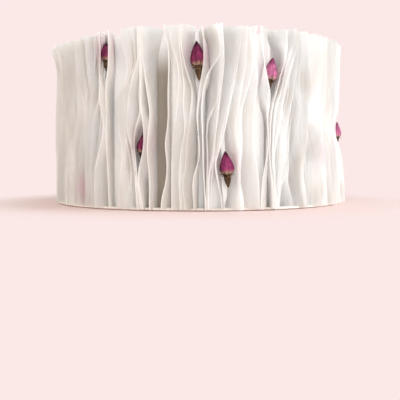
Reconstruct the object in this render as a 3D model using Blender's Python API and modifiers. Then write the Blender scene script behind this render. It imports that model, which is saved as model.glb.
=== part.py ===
"""A round iced cake wrapped in upright wafer-paper ruffles, with dried rosebuds tucked between them.

The frame is in metres with +Z up. The origin is the middle of the cake's underside, and the side
that is looked at from the front faces -Y. An azimuth is measured from there, positive towards +X.

The cake is one iced cylinder. The ruffles are one node: a thin icing band with a foot, and the
sheets that stand on it like the pages of an open book. Every rosebud is a node of its own, in an
opening that the sheets leave for it.
"""

import math
from collections import namedtuple

import bpy
import numpy as np
from mathutils import Matrix, Vector

# Driving dimensions
CAKE_RADIUS = 0.1016
CAKE_HEIGHT = 0.1215
CAKE_RIM_ROUND = 0.004
CAKE_SIDES = 48

BAND_GAP = 0.0006
BAND_THICKNESS = 0.0015
BAND_TOP = 0.1205
BAND_SIDES = 48
FOOT_RADIUS = 0.1150
FOOT_HEIGHT = 0.0020

SHEET_COUNT = 160
SHEET_THICKNESS = 0.0010
SHEET_TOP = 0.1248
SHEET_FOOT = 0.0010
SHEET_EDGE_RADIUS = 0.1200
SEEN_ROWS = 8
OTHER_ROWS = 6
SHEET_GAP = 0.0018

# Where the ruffles aren't upright: azimuth, and how far out they are at their feet and at their tops
FLARES = (
    (80, 0.0030, -0.0018),
    (-80, -0.0012, 0.0030),
)

BUD_RADIUS = 0.0049
BUD_LENGTH = 0.0158
HIP_LENGTH = 0.0088
BUD_SIDES = 12
BUD_PETALS = 3
BUD_SWIRL = 260
BUD_RELIEF = 0.16
BUD_CLEARANCE = 0.0016

# How much wider than a bud its room is, at the sheets' edges and roots, and beyond its ends
ROOM_EDGE = 0.0012
ROOM_ROOT = -0.0022
DEEP_ROOM_EDGE = -0.0020
DEEP_ROOM_ROOT = 0.0030
ROOM_ENDS = 0.0105

# How far one sheet may differ from the next
SHEET_SPREAD = {
    "edge": (-0.0016, 0.0010),
    "bow": (-0.0012, 0.0008),
    "top_outer": (-0.0014, 0.0018),
    "top_inner": (-0.0012, 0.0014),
    "foot": (-0.0004, 0.0004),
}

# The waves that the sheets' edges wander by, out of sight of the front. Each line: how many, the
# fewest and the most lobes round the cake, how far they reach together, and their rise for a turn.
WAVES = (
    (6, 9, 17, 0.0048, (0.16, 0.60)),
    (9, 14, 26, 0.0026, (0.09, 0.22)),
    (24, 26, 74, 0.0016, (0.05, 0.14)),
)

# How the sheets' places are worked out
LEVELS = 49
RANDOM_SEED = 11
SETTLE_TURNS = 260
NEIGHBOURHOOD = 0.030

# Colours, linear
ICING_WHITE = (0.86, 0.83, 0.79)
WAFER_WHITE = (0.88, 0.85, 0.81)
ROSE_MAGENTA = (0.30, 0.035, 0.11)

ROOT_RADIUS = CAKE_RADIUS + BAND_GAP + BAND_THICKNESS

# Each rosebud: azimuth in degrees, height of the bud's middle, distance of its axis from the cake's
# axis, lean in degrees, size. Those that sit deeper are veiled by the sheets in front of them.
OUT = 0.1130
DEEP = 0.1092
ROSEBUDS = (
    (-35.1, 0.1115, OUT, -2, 0.84),
    (-0.3, 0.1070, OUT, -4, 1.06),
    (26.6, 0.0980, OUT, 11, 1.00),
    (-19.6, 0.0470, OUT, 4, 0.90),
    (9.8, 0.0330, OUT, -5, 1.00),
    (78.0, 0.0590, OUT, -2, 0.76),
    (68.5, 0.0400, DEEP, -8, 0.92),
    (-59.0, 0.0190, DEEP, -9, 0.90),
    (99.0, 0.0960, OUT, 8, 0.94),
    (119.0, 0.0360, OUT, -3, 0.90),
    (143.0, 0.0800, OUT, 9, 0.88),
    (170.0, 0.1030, OUT, -6, 1.00),
    (-166.0, 0.0400, OUT, 6, 0.95),
    (-137.0, 0.0890, OUT, -6, 0.95),
    (-104.0, 0.0560, OUT, 7, 0.90),
)

# The front view that the sheets' edges are measured in: the eye, how far it looks down in degrees,
# the middle of the view, and how many steps of it are as long as the distance.
VIEW_EYE = (0.0012, -0.626, 0.037)
VIEW_TILT = 3.28
VIEW_MIDDLE = (200, 200)
VIEW_STEPS = 750

# The free edges of the sheets in front, from left to right and each from its top down. Every point
# is so many steps across the front view and so many down.
SEEN_EDGES = (
    (
        (66, 43), (67, 80), (69, 110), (67, 150), (66, 203),
    ),
    (
        (74, 40), (75, 60), (78, 82), (81, 100), (82, 118), (78, 140), (77, 165), (79, 203),
    ),
    (
        (82, 38), (83, 60), (85, 80), (88, 97), (87, 115), (83, 130), (82, 150), (83, 203),
    ),
    (
        (96, 40), (97, 70), (97, 95), (92, 110), (88.5, 125), (88, 150), (86, 165), (88, 185),
        (88, 203),
    ),
    (
        (100, 40), (99, 70), (98, 95), (101, 107), (104.5, 125), (102, 143), (97.5, 158),
        (95, 172), (94, 203),
    ),
    (
        (108.3, 30), (108.3, 66), (106, 85), (106, 100), (108, 115), (106.5, 135), (107.5, 155),
        (109, 203),
    ),
    (
        (121, 32), (123, 50), (127, 66), (127, 75), (121, 87), (117, 100), (116.5, 115),
        (118, 130), (121, 145), (122, 160), (119, 180), (117, 203),
    ),
    (
        (137, 30), (139, 58), (131.5, 80), (129, 93), (128, 112), (126.5, 130), (131, 143),
        (134, 155), (135.5, 168), (135.5, 185), (137, 203),
    ),
    (
        (138.5, 30), (139.8, 62), (139.8, 80), (139, 95), (140.5, 112), (136, 124), (134, 138),
        (134.3, 150), (136.5, 167), (136.5, 182), (139, 195), (141, 204),
    ),
    (
        (140.5, 30), (141, 62), (141, 80), (140, 95), (141.5, 112), (144, 128), (144.5, 142),
        (142.5, 155), (138.5, 168), (137.5, 182), (139.5, 195), (142, 204),
    ),
    (
        (142, 30), (142.5, 62), (145, 80), (148, 97), (150.5, 113), (149, 125), (147.5, 140),
        (147, 155), (149, 172), (149.5, 188), (149, 203),
    ),
    (
        (163, 28), (167, 42), (169, 55), (168.8, 70), (168, 85), (168, 100), (168.5, 115),
        (167.5, 128), (165, 142), (165.3, 150), (167, 160), (167, 172), (165.5, 184), (162, 195),
        (160.5, 204),
    ),
    (
        (168.5, 28), (170.5, 42), (174, 54), (177, 63), (178.5, 75), (178, 88), (176.5, 100),
        (176.5, 113), (174.5, 125), (172, 140), (171.5, 155), (171, 175), (171, 204),
    ),
    (
        (178, 28), (179, 50), (181, 65), (183, 78), (183.5, 92), (182, 105), (184, 118),
        (185, 128), (182, 142), (180, 155), (179, 170), (178.5, 185), (180, 204),
    ),
    (
        (180, 28), (180.5, 42), (182, 55), (184.5, 65), (189, 77), (192, 87), (192, 96),
        (190.5, 108), (189, 122), (187, 138), (185.5, 152), (185, 168), (182.5, 180), (182, 190),
        (184.5, 204),
    ),
    (
        (202, 28), (204, 48), (204, 60), (203, 68), (200.5, 80), (199, 92), (197.5, 104),
        (196.5, 114), (197.5, 128), (199.5, 143), (200, 155), (198, 164), (194.5, 172),
        (192.5, 182), (192.5, 192), (194, 204),
    ),
    (
        (216, 24), (220.5, 33), (221.5, 45), (220.5, 55), (217, 62), (211, 67.5), (207, 72),
        (204.5, 82), (202.5, 94), (201, 108), (201.5, 118), (202.5, 135), (202.5, 150),
        (203, 168), (204, 184), (206, 204),
    ),
    (
        (221, 28), (222.5, 60), (221, 80), (217.5, 102), (212, 112), (208, 120), (206.7, 135),
        (208, 150), (208, 165), (207.5, 180), (207.5, 204),
    ),
    (
        (222, 28), (223.5, 42), (224, 58), (223.5, 70), (222, 84), (220.5, 95), (219, 110),
        (217.5, 122), (215.5, 135), (215, 147), (213.5, 158), (210.5, 168), (208.7, 180),
        (208.5, 204),
    ),
    (
        (241, 26), (239.5, 45), (236.5, 65), (233.5, 80), (230.5, 95), (227, 110), (225, 122),
        (221.5, 138), (216.5, 151), (214, 160), (213, 170), (212, 183), (211.5, 204),
    ),
    (
        (242.5, 26), (241, 45), (238, 65), (235, 80), (232, 95), (229, 108), (227, 119),
        (224, 132), (221, 145), (218.5, 153), (215, 163), (217, 174), (219.5, 186), (222, 204),
    ),
    (
        (245, 26), (243.5, 45), (241.5, 65), (238, 82), (234.5, 97), (231, 112), (228, 122),
        (227.5, 132), (231, 146), (235, 158), (238, 168), (237.5, 182), (235, 192), (232, 204),
    ),
    (
        (247, 26), (246.5, 50), (246, 65), (243, 80), (240.5, 95), (238, 110), (235.5, 122),
        (236, 132), (238.5, 145), (240, 155), (238.2, 168), (237.8, 180), (240, 192), (242, 204),
    ),
    (
        (250, 28), (251.5, 50), (253, 62), (251.5, 75), (248.5, 86), (245, 97), (242, 107),
        (240.8, 118), (241.5, 130), (242, 143), (241.2, 155), (239, 168), (238.5, 178),
        (241, 190), (244, 204),
    ),
    (
        (257.5, 26), (253.5, 38), (252, 48), (254.5, 58), (257.5, 70), (257.8, 80), (256.3, 92),
        (255, 104), (253.5, 115), (252.7, 128), (253.2, 142), (255, 155), (257, 168),
        (258.5, 182), (259, 204),
    ),
    (
        (260, 24), (260.5, 40), (262.5, 54), (264.5, 65), (266.8, 77), (269.5, 88), (270.5, 97),
        (269, 108), (267, 118), (267.5, 130), (268.3, 143), (267, 153), (264.3, 166), (262, 178),
        (261, 190), (260.3, 204),
    ),
    (
        (287, 32), (288, 50), (286.5, 60), (281, 74), (277.5, 88), (274, 101), (271.5, 115),
        (270.3, 128), (269.8, 142), (269, 155), (270, 168), (272, 182), (274.5, 204),
    ),
    (
        (297, 32), (295, 45), (291.5, 56), (287, 67), (284.5, 80), (281, 95), (277.5, 106),
        (275.5, 120), (273.5, 135), (272, 150), (273, 165), (274.5, 180), (276.5, 204),
    ),
    (
        (298.5, 34), (297.5, 50), (294, 62), (290, 75), (287, 90), (284, 105), (282.5, 120),
        (281, 130), (277.5, 143), (275, 153), (275, 165), (276, 182), (278, 204),
    ),
    (
        (303, 34), (301, 60), (297, 85), (292, 110), (288, 130), (287.5, 145), (287, 158),
        (285, 170), (283, 184), (280.5, 204),
    ),
    (
        (305, 34), (304.5, 55), (303, 75), (303.5, 92), (304, 110), (302.5, 128), (303.5, 145),
        (305, 158), (304, 170), (304.8, 182), (307, 195), (308, 204),
    ),
    (
        (311, 32), (311, 50), (310.5, 65), (311, 85), (311, 105), (311.3, 125), (311, 143),
        (307.5, 156), (305, 168), (305.5, 180), (308, 192), (309, 204),
    ),
    (
        (314, 30), (313, 48), (313.5, 62), (315.5, 78), (317, 92), (315.5, 105), (313, 117),
        (312, 130), (312.5, 145), (311.5, 160), (311.5, 178), (312, 204),
    ),
    (
        (320, 30), (320, 60), (320, 85), (318, 105), (314.5, 116), (320, 124), (323, 133),
        (325.5, 146), (325.5, 153), (322, 163), (319.5, 174), (320, 186), (323, 204),
    ),
    (
        (333, 34), (332.5, 60), (332, 90), (331.5, 115), (331, 135), (330.5, 150), (330.5, 175),
        (330.5, 204),
    ),
)


def clear_scene():
    for thing in list(bpy.data.objects):
        bpy.data.objects.remove(thing)


def collection(name):
    made = bpy.data.collections.new(name)
    bpy.context.scene.collection.children.link(made)
    return made


def material(name, colour, roughness):
    made = bpy.data.materials.new(name)
    made.use_nodes = True
    shader = made.node_tree.nodes["Principled BSDF"]
    shader.inputs["Base Color"].default_value = (*colour, 1.0)
    shader.inputs["Roughness"].default_value = roughness
    shader.inputs["Metallic"].default_value = 0.0
    return made


def move_to(thing, group):
    for old in list(thing.users_collection):
        old.objects.unlink(thing)
    group.objects.link(thing)


def turned(name, profile, steps, group):
    """A closed body turned about Z from a profile of (radius, height) points."""
    mesh = bpy.data.meshes.new(name)
    points = [(radius, 0.0, height) for radius, height in profile]
    closed = profile[0] != profile[-1] and profile[0][0] > 0.0
    edges = [(i, i + 1) for i in range(len(points) - 1)]
    if closed:
        edges.append((len(points) - 1, 0))
    mesh.from_pydata(points, edges, [])
    thing = bpy.data.objects.new(name, mesh)
    group.objects.link(thing)
    screw = thing.modifiers.new("Turn", "SCREW")
    screw.steps = steps
    screw.render_steps = steps
    screw.use_merge_vertices = True
    screw.merge_threshold = 0.00001
    screw.use_smooth_shade = True
    return thing


def make_cake(group):
    """The iced cake: a plain cylinder with a rounded upper rim."""
    profile = [(0.0, CAKE_HEIGHT)]
    for step in range(3):
        turn = math.radians(90 - 45 * step)
        radius = CAKE_RADIUS - CAKE_RIM_ROUND + CAKE_RIM_ROUND * math.cos(turn)
        height = CAKE_HEIGHT - CAKE_RIM_ROUND + CAKE_RIM_ROUND * math.sin(turn)
        profile.append((radius, height))
    profile += [(CAKE_RADIUS, 0.0), (0.0, 0.0)]
    cake = turned("cake", profile, CAKE_SIDES, group)
    cake.data.materials.append(material("icing", ICING_WHITE, 0.5))


# Where the sheets stand. Places along the edge circle are lengths of arc in metres, one row a
# sheet and one column a level, so that gaps between neighbours read as real distances.

CIRCLE = math.tau * SHEET_EDGE_RADIUS
HEIGHTS = np.linspace(0.0, SHEET_TOP + 0.006, LEVELS)


def arc_at(azimuth_deg):
    return math.radians(azimuth_deg) * SHEET_EDGE_RADIUS


def around(distance):
    """A distance along the circle, taken the shorter way."""
    return (distance + CIRCLE / 2) % CIRCLE - CIRCLE / 2


# The room for a rosebud: the place of its middle, its half widths at the sheets' edges and roots,
# its half height, and how far it leans for each unit of height.
Room = namedtuple("Room", "arc height edge root half_height slant")


def bud_rooms():
    """The room that the sheets leave round each rosebud. In front of a deep one they close."""
    found = []
    for azimuth, height, radius, lean, size in ROSEBUDS:
        deep = radius < OUT
        half = BUD_RADIUS * size + BUD_CLEARANCE
        edge = half + (DEEP_ROOM_EDGE if deep else ROOM_EDGE)
        root = half + (DEEP_ROOM_ROOT if deep else ROOM_ROOT)
        half_height = (BUD_LENGTH + HIP_LENGTH) / 2 * size + ROOM_ENDS
        middle = height - HIP_LENGTH / 2 * size
        slant = math.tan(math.radians(lean))
        found.append(Room(arc_at(azimuth), middle, edge, root, half_height, slant))
    return found


def walls(room, width):
    """The levels that a room spans, and the arcs of its left and right side there."""
    reach = np.abs((HEIGHTS - room.height) / room.half_height)
    levels = np.nonzero(reach < 1)[0]
    open_by = width * (1 - reach[levels] ** 2.6) ** 0.75
    middle = room.arc + room.slant * (HEIGHTS[levels] - room.height)
    return levels, middle - open_by, middle + open_by


def seen_from_front(across, down):
    """The arc and height where a line of sight of the front view meets the circle of the edges."""
    eye = np.array(VIEW_EYE)
    tilt = math.radians(VIEW_TILT)
    right = (across - VIEW_MIDDLE[0]) / VIEW_STEPS
    rise = (VIEW_MIDDLE[1] - down) / VIEW_STEPS
    forward = math.cos(tilt) + rise * math.sin(tilt)
    sight = np.array([right, forward, rise * math.cos(tilt) - math.sin(tilt)])
    square = sight[:2] @ sight[:2]
    half = sight[:2] @ eye[:2]
    rest = eye[:2] @ eye[:2] - SHEET_EDGE_RADIUS**2
    reach = (-half - math.sqrt(half**2 - square * rest)) / square
    x, y, z = eye + reach * sight
    return math.atan2(x, -y) * SHEET_EDGE_RADIUS, z


def seen_edge(points):
    """The arc of one measured edge at every level."""
    spots = sorted((seen_from_front(*point) for point in points), key=lambda spot: spot[1])
    arcs, heights = zip(*spots)
    return np.interp(HEIGHTS, heights, arcs)


def wander(arcs, draw):
    """How far each sheet's edge strays sideways at each level, from a sum of slanting waves that
    reach further towards the top."""
    azimuths = arcs[:, None] / SHEET_EDGE_RADIUS
    looser = 0.75 + 0.6 * (HEIGHTS[None, :] / SHEET_TOP) ** 2
    total = np.zeros((len(arcs), LEVELS))
    for count, fewest, most, reach, pitches in WAVES:
        for _ in range(count):
            lobes = draw.integers(fewest, most)
            pitch = draw.uniform(*pitches) * draw.choice((-1, 1))
            phase = draw.uniform(0.0, math.tau)
            wave = np.cos(lobes * azimuths + math.tau * HEIGHTS[None, :] / pitch + phase)
            total += wave * looser * reach * math.sqrt(2.0 / count)
    return total


def sheet_of_each(edges, starts):
    """The number of the sheet that each measured edge belongs to: the nearest one that keeps them
    all in order."""
    order = np.arange(len(edges))
    nearest = np.array([np.argmin(np.abs(starts - edge.mean())) for edge in edges]) - order
    from_left = np.maximum.accumulate(nearest)
    from_right = np.minimum.accumulate(nearest[::-1])[::-1]
    return (from_left + from_right) // 2 + order


def keep_out(places, sides, room, width):
    """Moves every sheet that stands in a room to the side that it belongs to."""
    levels, left_wall, right_wall = walls(room, width)
    offset = around(places[:, levels[len(levels) // 2]] - room.arc)
    turns = np.round((places[:, levels[len(levels) // 2]] - room.arc - offset) / CIRCLE) * CIRCLE
    for side, wall, pick in ((-1, left_wall, np.minimum), (1, right_wall, np.maximum)):
        near = np.nonzero((sides == side) & (np.abs(offset) < NEIGHBOURHOOD))[0]
        cells = np.ix_(near, levels)
        places[cells] = pick(places[cells], wall[None, :] + turns[near, None])


def settle(wanted, rooms, widths, sides):
    """Lets the sheets push each other apart until all keep their gap and stay out of the rooms.
    Their order round the cake never changes."""
    places = wanted.copy()
    for turn in range(SETTLE_TURNS):
        if turn < SETTLE_TURNS * 0.75:
            places += 0.06 * (wanted - places)
            bend = places[:, 2:] - 2 * places[:, 1:-1] + places[:, :-2]
            places[:, 1:-1] += 0.10 * bend
        for room, width, side in zip(rooms, widths, sides):
            keep_out(places, side, room, width)
        ahead = np.roll(places, -1, axis=0)
        ahead[-1] += CIRCLE
        push = np.maximum(0, SHEET_GAP - (ahead - places)) / 2
        places -= push
        places += np.roll(push, 1, axis=0)
    return places


def sheet_places(rooms):
    """Where every sheet starts, its arcs at the edge and at the root with one row a sheet and one
    column a level, on which side of each room it stands, and how many rows it is built with. In
    front there is one sheet for each measured edge, and elsewhere three for every seven places."""
    draw = np.random.default_rng(RANDOM_SEED)
    even = np.arange(SHEET_COUNT) + draw.uniform(-0.3, 0.3, SHEET_COUNT)
    starts = even / SHEET_COUNT * CIRCLE - CIRCLE / 2
    wanted = starts[:, None] + wander(starts, draw)
    edges = [seen_edge(points) for points in SEEN_EDGES]
    seen = sheet_of_each(edges, starts)
    wanted[seen] = edges
    unseen = [i for i in range(SHEET_COUNT) if i % 7 in (0, 2, 4) and not seen[0] <= i <= seen[-1]]
    kept = sorted([*seen, *unseen])
    starts = starts[kept]
    wanted = np.sort(wanted[kept], axis=0)
    sides = []
    for room in rooms:
        level = np.argmin(np.abs(HEIGHTS - room.height))
        sides.append(np.where(around(wanted[:, level] - room.arc) < 0, -1, 1))
    edge = settle(wanted, rooms, [room.edge for room in rooms], sides)
    root_wanted = starts[:, None] + 0.06 * (edge - starts[:, None])
    root = settle(root_wanted, rooms, [room.root for room in rooms], sides)
    counts = [SEEN_ROWS if i in seen else OTHER_ROWS for i in kept]
    return starts, edge, root, np.array(sides).T, counts


def sheet_outline(draw):
    """How one sheet differs from the plain one: its edge, its bow, and its corners' heights."""
    outline = {name: draw.uniform(*spread) for name, spread in SHEET_SPREAD.items()}
    outline["bow_phase"] = draw.uniform(0.0, math.tau)
    return outline


def sheet_height(outline, across, up):
    rise = outline["top_inner"] + across * (outline["top_outer"] - outline["top_inner"])
    foot = SHEET_FOOT + outline["foot"]
    return foot + up * (SHEET_TOP + rise - foot)


def sheet_edge_radius(outline, start, up):
    """How far out a sheet's edge is, with up from 0 at its foot to 1 at its top."""
    bow = outline["bow"] * np.sin(math.tau * up + outline["bow_phase"])
    flare = 0.0
    for azimuth, foot, top in FLARES:
        towards = math.cos(start / SHEET_EDGE_RADIUS - math.radians(azimuth))
        flare += max(0.0, towards) ** 2 * (foot + up * (top - foot))
    return SHEET_EDGE_RADIUS + outline["edge"] + bow + flare


def straight_rows(heights, arcs, sides, rooms, widths):
    """A sheet's arcs at a few heights only. Where the straight runs between them would cut into
    the room of a rosebud, both ends of that run move out."""
    rows = np.interp(heights, HEIGHTS, arcs)
    for room, width, side in zip(rooms, widths, sides):
        offset = around(rows.mean() - room.arc)
        if abs(offset) > NEIGHBOURHOOD:
            continue
        levels, left_wall, right_wall = walls(room, width)
        wall = (right_wall if side > 0 else left_wall) + rows.mean() - room.arc - offset
        here = np.interp(HEIGHTS[levels], heights, rows)
        short = np.maximum(0, side * (wall - here))
        for row, height in enumerate(heights):
            below = heights[max(row - 1, 0)]
            above = heights[min(row + 1, len(heights) - 1)]
            touching = (HEIGHTS[levels] >= below) & (HEIGHTS[levels] <= above)
            if touching.any():
                rows[row] += side * short[touching].max()
    return rows


def make_sheet(index, outline, start, edge_arcs, root_arcs, sides, count, rooms, group):
    """One sheet of wafer paper: a thin solid with few rows, both of its faces split alike."""
    bpy.ops.mesh.primitive_grid_add(x_subdivisions=1, y_subdivisions=count, size=1)
    sheet = bpy.context.active_object
    sheet.name = f"sheet_{index:03d}"
    inner_radius = ROOT_RADIUS - BAND_THICKNESS * 0.55
    ups = np.linspace(0.0, 1.0, count + 1)
    upwards = sorted(sheet.data.vertices, key=lambda vertex: vertex.co.y)
    columns = [[v for v in upwards if v.co.x < 0], [v for v in upwards if v.co.x > 0]]
    for across, arcs in ((0, root_arcs), (1, edge_arcs)):
        widths = [room.edge if across else room.root for room in rooms]
        heights = sheet_height(outline, across, ups)
        rows = straight_rows(heights, arcs, sides, rooms, widths)
        radii = inner_radius + across * (sheet_edge_radius(outline, start, ups) - inner_radius)
        for vertex, radius, height, arc in zip(columns[across], radii, heights, rows):
            angle = arc / SHEET_EDGE_RADIUS
            vertex.co = (radius * math.sin(angle), -radius * math.cos(angle), height)
    move_to(sheet, group)
    split = sheet.modifiers.new("Split", "TRIANGULATE")
    split.quad_method = "FIXED"
    shell = sheet.modifiers.new("Thickness", "SOLIDIFY")
    shell.thickness = SHEET_THICKNESS
    shell.offset = 0.0
    return sheet


def make_band(group):
    """The icing band that holds the sheets' roots, with the flat foot that they stand on."""
    inner = CAKE_RADIUS + BAND_GAP
    profile = [
        (inner, BAND_TOP),
        (ROOT_RADIUS, BAND_TOP),
        (ROOT_RADIUS, FOOT_HEIGHT * 1.5),
        (ROOT_RADIUS + 0.0020, FOOT_HEIGHT),
        (FOOT_RADIUS - 0.0012, FOOT_HEIGHT * 0.85),
        (FOOT_RADIUS, 0.0),
        (inner, 0.0),
    ]
    return turned("ruffles", profile, BAND_SIDES, group)


def join_all(base, pieces):
    """One union of base with every piece of a collection, after which the pieces are removed."""
    union = base.modifiers.new("Join", "BOOLEAN")
    union.operation = "UNION"
    union.operand_type = "COLLECTION"
    union.collection = pieces
    union.solver = "MANIFOLD"
    bpy.context.view_layer.update()
    whole = bpy.data.meshes.new_from_object(
        base.evaluated_get(bpy.context.evaluated_depsgraph_get())
    )
    base.modifiers.clear()
    base.data = whole
    for piece in list(pieces.objects):
        bpy.data.objects.remove(piece)
    bpy.data.collections.remove(pieces)


def make_ruffles(group):
    rooms = bud_rooms()
    starts, edge, root, sides, counts = sheet_places(rooms)
    draw = np.random.default_rng(RANDOM_SEED + 1)
    sheets = collection("sheets")
    for i, start in enumerate(starts):
        outline = sheet_outline(draw)
        make_sheet(i, outline, start, edge[i], root[i], sides[i], counts[i], rooms, sheets)
    band = make_band(group)
    join_all(band, sheets)
    band.data.materials.clear()
    band.data.materials.append(material("wafer_paper", WAFER_WHITE, 0.6))


# Rosebuds

# Heights along the bud from where petals and hip meet, with the share of the bud's radius there.
BUD_PROFILE = (
    (-HIP_LENGTH, 0.0),
    (-HIP_LENGTH * 0.72, 0.25),
    (-HIP_LENGTH * 0.34, 0.45),
    (-HIP_LENGTH * 0.03, 0.32),
    (BUD_LENGTH * 0.06, 0.74),
    (BUD_LENGTH * 0.30, 1.00),
    (BUD_LENGTH * 0.60, 0.80),
    (BUD_LENGTH * 0.86, 0.32),
    (BUD_LENGTH, 0.0),
)


def rosebud_mesh(size):
    """A closed bud of wrapped petals over its hip, about the local Z axis, with the origin where
    they meet. It starts as a sphere whose rings are drawn to the bud's own profile."""
    rings = len(BUD_PROFILE) - 1
    bpy.ops.mesh.primitive_uv_sphere_add(segments=BUD_SIDES, ring_count=rings, radius=1.0)
    sphere = bpy.context.active_object
    for vertex in sphere.data.vertices:
        polar = math.acos(max(-1.0, min(1.0, vertex.co.z)))
        ring = rings - round(polar / math.pi * rings)
        height, share = BUD_PROFILE[ring]
        turn = math.atan2(vertex.co.y, vertex.co.x)
        swirl = math.sin(BUD_PETALS * turn + BUD_SWIRL * height) if height > 0 else 0.0
        radius = size * BUD_RADIUS * share * (1.0 - BUD_RELIEF * (0.5 - 0.5 * swirl))
        vertex.co = (radius * math.cos(turn), radius * math.sin(turn), size * height)
    mesh = sphere.data
    mesh.name = "rosebud"
    mesh.shade_smooth()
    bpy.data.objects.remove(sphere)
    return mesh


def make_rosebuds(group):
    petals = material("dried_rose", ROSE_MAGENTA, 0.7)
    for number, (azimuth, height, radius, lean, size) in enumerate(ROSEBUDS, start=1):
        mesh = rosebud_mesh(size)
        mesh.materials.append(petals)
        bud = bpy.data.objects.new(f"rosebud_{number:02d}", mesh)
        group.objects.link(bud)
        angle = math.radians(azimuth)
        outward = Matrix.Rotation(angle, 4, "Z")
        tilt = Matrix.Rotation(math.radians(lean), 4, "Y")
        middle = Matrix.Translation((0.0, 0.0, -BUD_LENGTH / 2 * size))
        place = Vector((radius * math.sin(angle), -radius * math.cos(angle), height))
        bud.matrix_world = Matrix.Translation(place) @ outward @ tilt @ middle


def main():
    clear_scene()
    parts = collection("ruffled_cake")
    make_cake(parts)
    make_ruffles(parts)
    make_rosebuds(parts)


main()
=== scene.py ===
# %% [markdown]
# # A white cake in wafer-paper ruffles, with dried rosebuds
#
# The object is a round wedding cake. Its side is covered with rectangles of edible wafer paper that
# stand on edge, like the pages of an open book. Steam has made them wavy, so their edges touch here
# and part there, and dried rosebuds sit in some of the openings.
#
# The solid model is loaded first and never moved. The cake takes its radius and height from the solid,
# and each piece below hides the solid that it stands for.

# %% Load the solid model
import math
from collections import namedtuple

import bpy
import numpy as np
from mathutils import Matrix, Vector


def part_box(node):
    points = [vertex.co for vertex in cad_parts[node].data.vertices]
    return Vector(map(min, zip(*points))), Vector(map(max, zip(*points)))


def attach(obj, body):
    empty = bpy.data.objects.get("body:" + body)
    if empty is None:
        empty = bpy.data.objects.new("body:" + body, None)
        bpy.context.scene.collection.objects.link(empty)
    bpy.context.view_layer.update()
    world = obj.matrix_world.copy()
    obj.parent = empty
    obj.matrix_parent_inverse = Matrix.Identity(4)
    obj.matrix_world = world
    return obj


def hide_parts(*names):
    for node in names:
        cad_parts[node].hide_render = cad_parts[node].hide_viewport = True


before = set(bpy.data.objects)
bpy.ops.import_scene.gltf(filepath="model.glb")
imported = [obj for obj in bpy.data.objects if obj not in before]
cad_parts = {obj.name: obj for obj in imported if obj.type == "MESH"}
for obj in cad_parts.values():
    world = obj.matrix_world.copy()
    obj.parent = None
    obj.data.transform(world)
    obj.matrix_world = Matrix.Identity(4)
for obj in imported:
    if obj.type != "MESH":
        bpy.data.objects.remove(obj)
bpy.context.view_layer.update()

# %% [markdown]
# ## Sizes
#
# The cake's radius and height come from the solid. The rest are the real sizes of the sheets, in
# metres, and a place round the cake is an arc along the circle of the sheets' outer edges.

# %% Sizes from the solid and of the sheets
cake_low, cake_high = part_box("cake")
CAKE_RADIUS = cake_high.x
CAKE_HEIGHT = cake_high.z

BAND_GAP = 0.0006
BAND_THICKNESS = 0.0036
BAND_TOP = 0.1225
ROOT_RADIUS = CAKE_RADIUS + BAND_GAP + BAND_THICKNESS
ROOT_DEPTH = 0.0012
EDGE_RADIUS = 0.1200
CIRCLE = math.tau * EDGE_RADIUS

SHEET_COUNT = 160
SHEET_TOP = 0.1248
SHEET_FOOT = 0.0010
SHEET_GAP = 0.0011

# Where the ruffles aren't upright: azimuth, shares of the height, and how far out they are there
FLARES = (
    (
        80,
        (0.0, 0.12, 0.21, 0.31, 0.41, 0.9, 1.0),
        (0.0006, 0.0003, -0.0005, -0.0020, -0.0044, -0.0044, -0.0036),
    ),
    (
        -80,
        (0.0, 0.2, 0.85, 0.93, 1.0),
        (-0.0030, -0.0040, -0.0043, -0.0025, 0.0012),
    ),
)
# How much lower the ruffles end: azimuth and distance
LOWER_TOPS = ((-180, 0.0), (-95, 0.0), (-75, 0.0035), (-45, 0.0035), (-34, 0.0), (180, 0.0))
# A hollow in the edges: azimuth, height, half of its width in degrees and in height, depth
HOLLOW = (71, 0.0590, 13, 0.0120, 0.0025)
print("sheets reach", round(1000 * (EDGE_RADIUS - ROOT_RADIUS), 1), "mm out of the icing")

# %% [markdown]
# ## Where the rosebuds are
#
# The real buds are pushed in last, wherever two sheets gape. Here their places come first, because
# every sheet beside a bud has to bend round it. Most sit at the sheets' edges, and two lie deep, where
# only their colour shows through the paper. Numbers in a table are easier to change than fifteen
# buds moved by hand.

# %% Sizes and places of the rosebuds
BUD_RADIUS = 0.0049
BUD_LENGTH = 0.0158
HIP_LENGTH = 0.0088
BUD_CLEARANCE = 0.0016
ROOM_EDGE = 0.0012
POCKET_ROOT = 0.0006
DEEP_ROOM_EDGE = -0.0020
DEEP_ROOM_ROOT = 0.0030
ROOM_ENDS = 0.0105

# Each rosebud: azimuth in degrees from the front, height of its middle, distance from the cake's
# axis, lean in degrees, size.
OUT = 0.1130
DEEP = 0.1092
ROSEBUDS = (
    (-35.1, 0.1115, OUT, -2, 0.84),
    (-0.3, 0.1070, OUT, -4, 1.06),
    (26.6, 0.0980, OUT, 11, 1.00),
    (-19.6, 0.0470, OUT, 4, 0.90),
    (9.8, 0.0330, OUT, -5, 1.00),
    (78.0, 0.0590, OUT, -2, 0.76),
    (68.5, 0.0400, DEEP, -8, 0.92),
    (-59.0, 0.0190, DEEP, -9, 0.90),
    (99.0, 0.0960, OUT, 8, 0.94),
    (119.0, 0.0360, OUT, -3, 0.90),
    (143.0, 0.0800, OUT, 9, 0.88),
    (170.0, 0.1030, OUT, -6, 1.00),
    (-166.0, 0.0400, OUT, 6, 0.95),
    (-137.0, 0.0890, OUT, -6, 0.95),
    (-104.0, 0.0560, OUT, 7, 0.90),
)
largest = max(size for azimuth, height, radius, lean, size in ROSEBUDS)
print("rosebuds:", len(ROSEBUDS), "up to", round(1000 * largest * (BUD_LENGTH + HIP_LENGTH), 1), "mm long")

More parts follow.
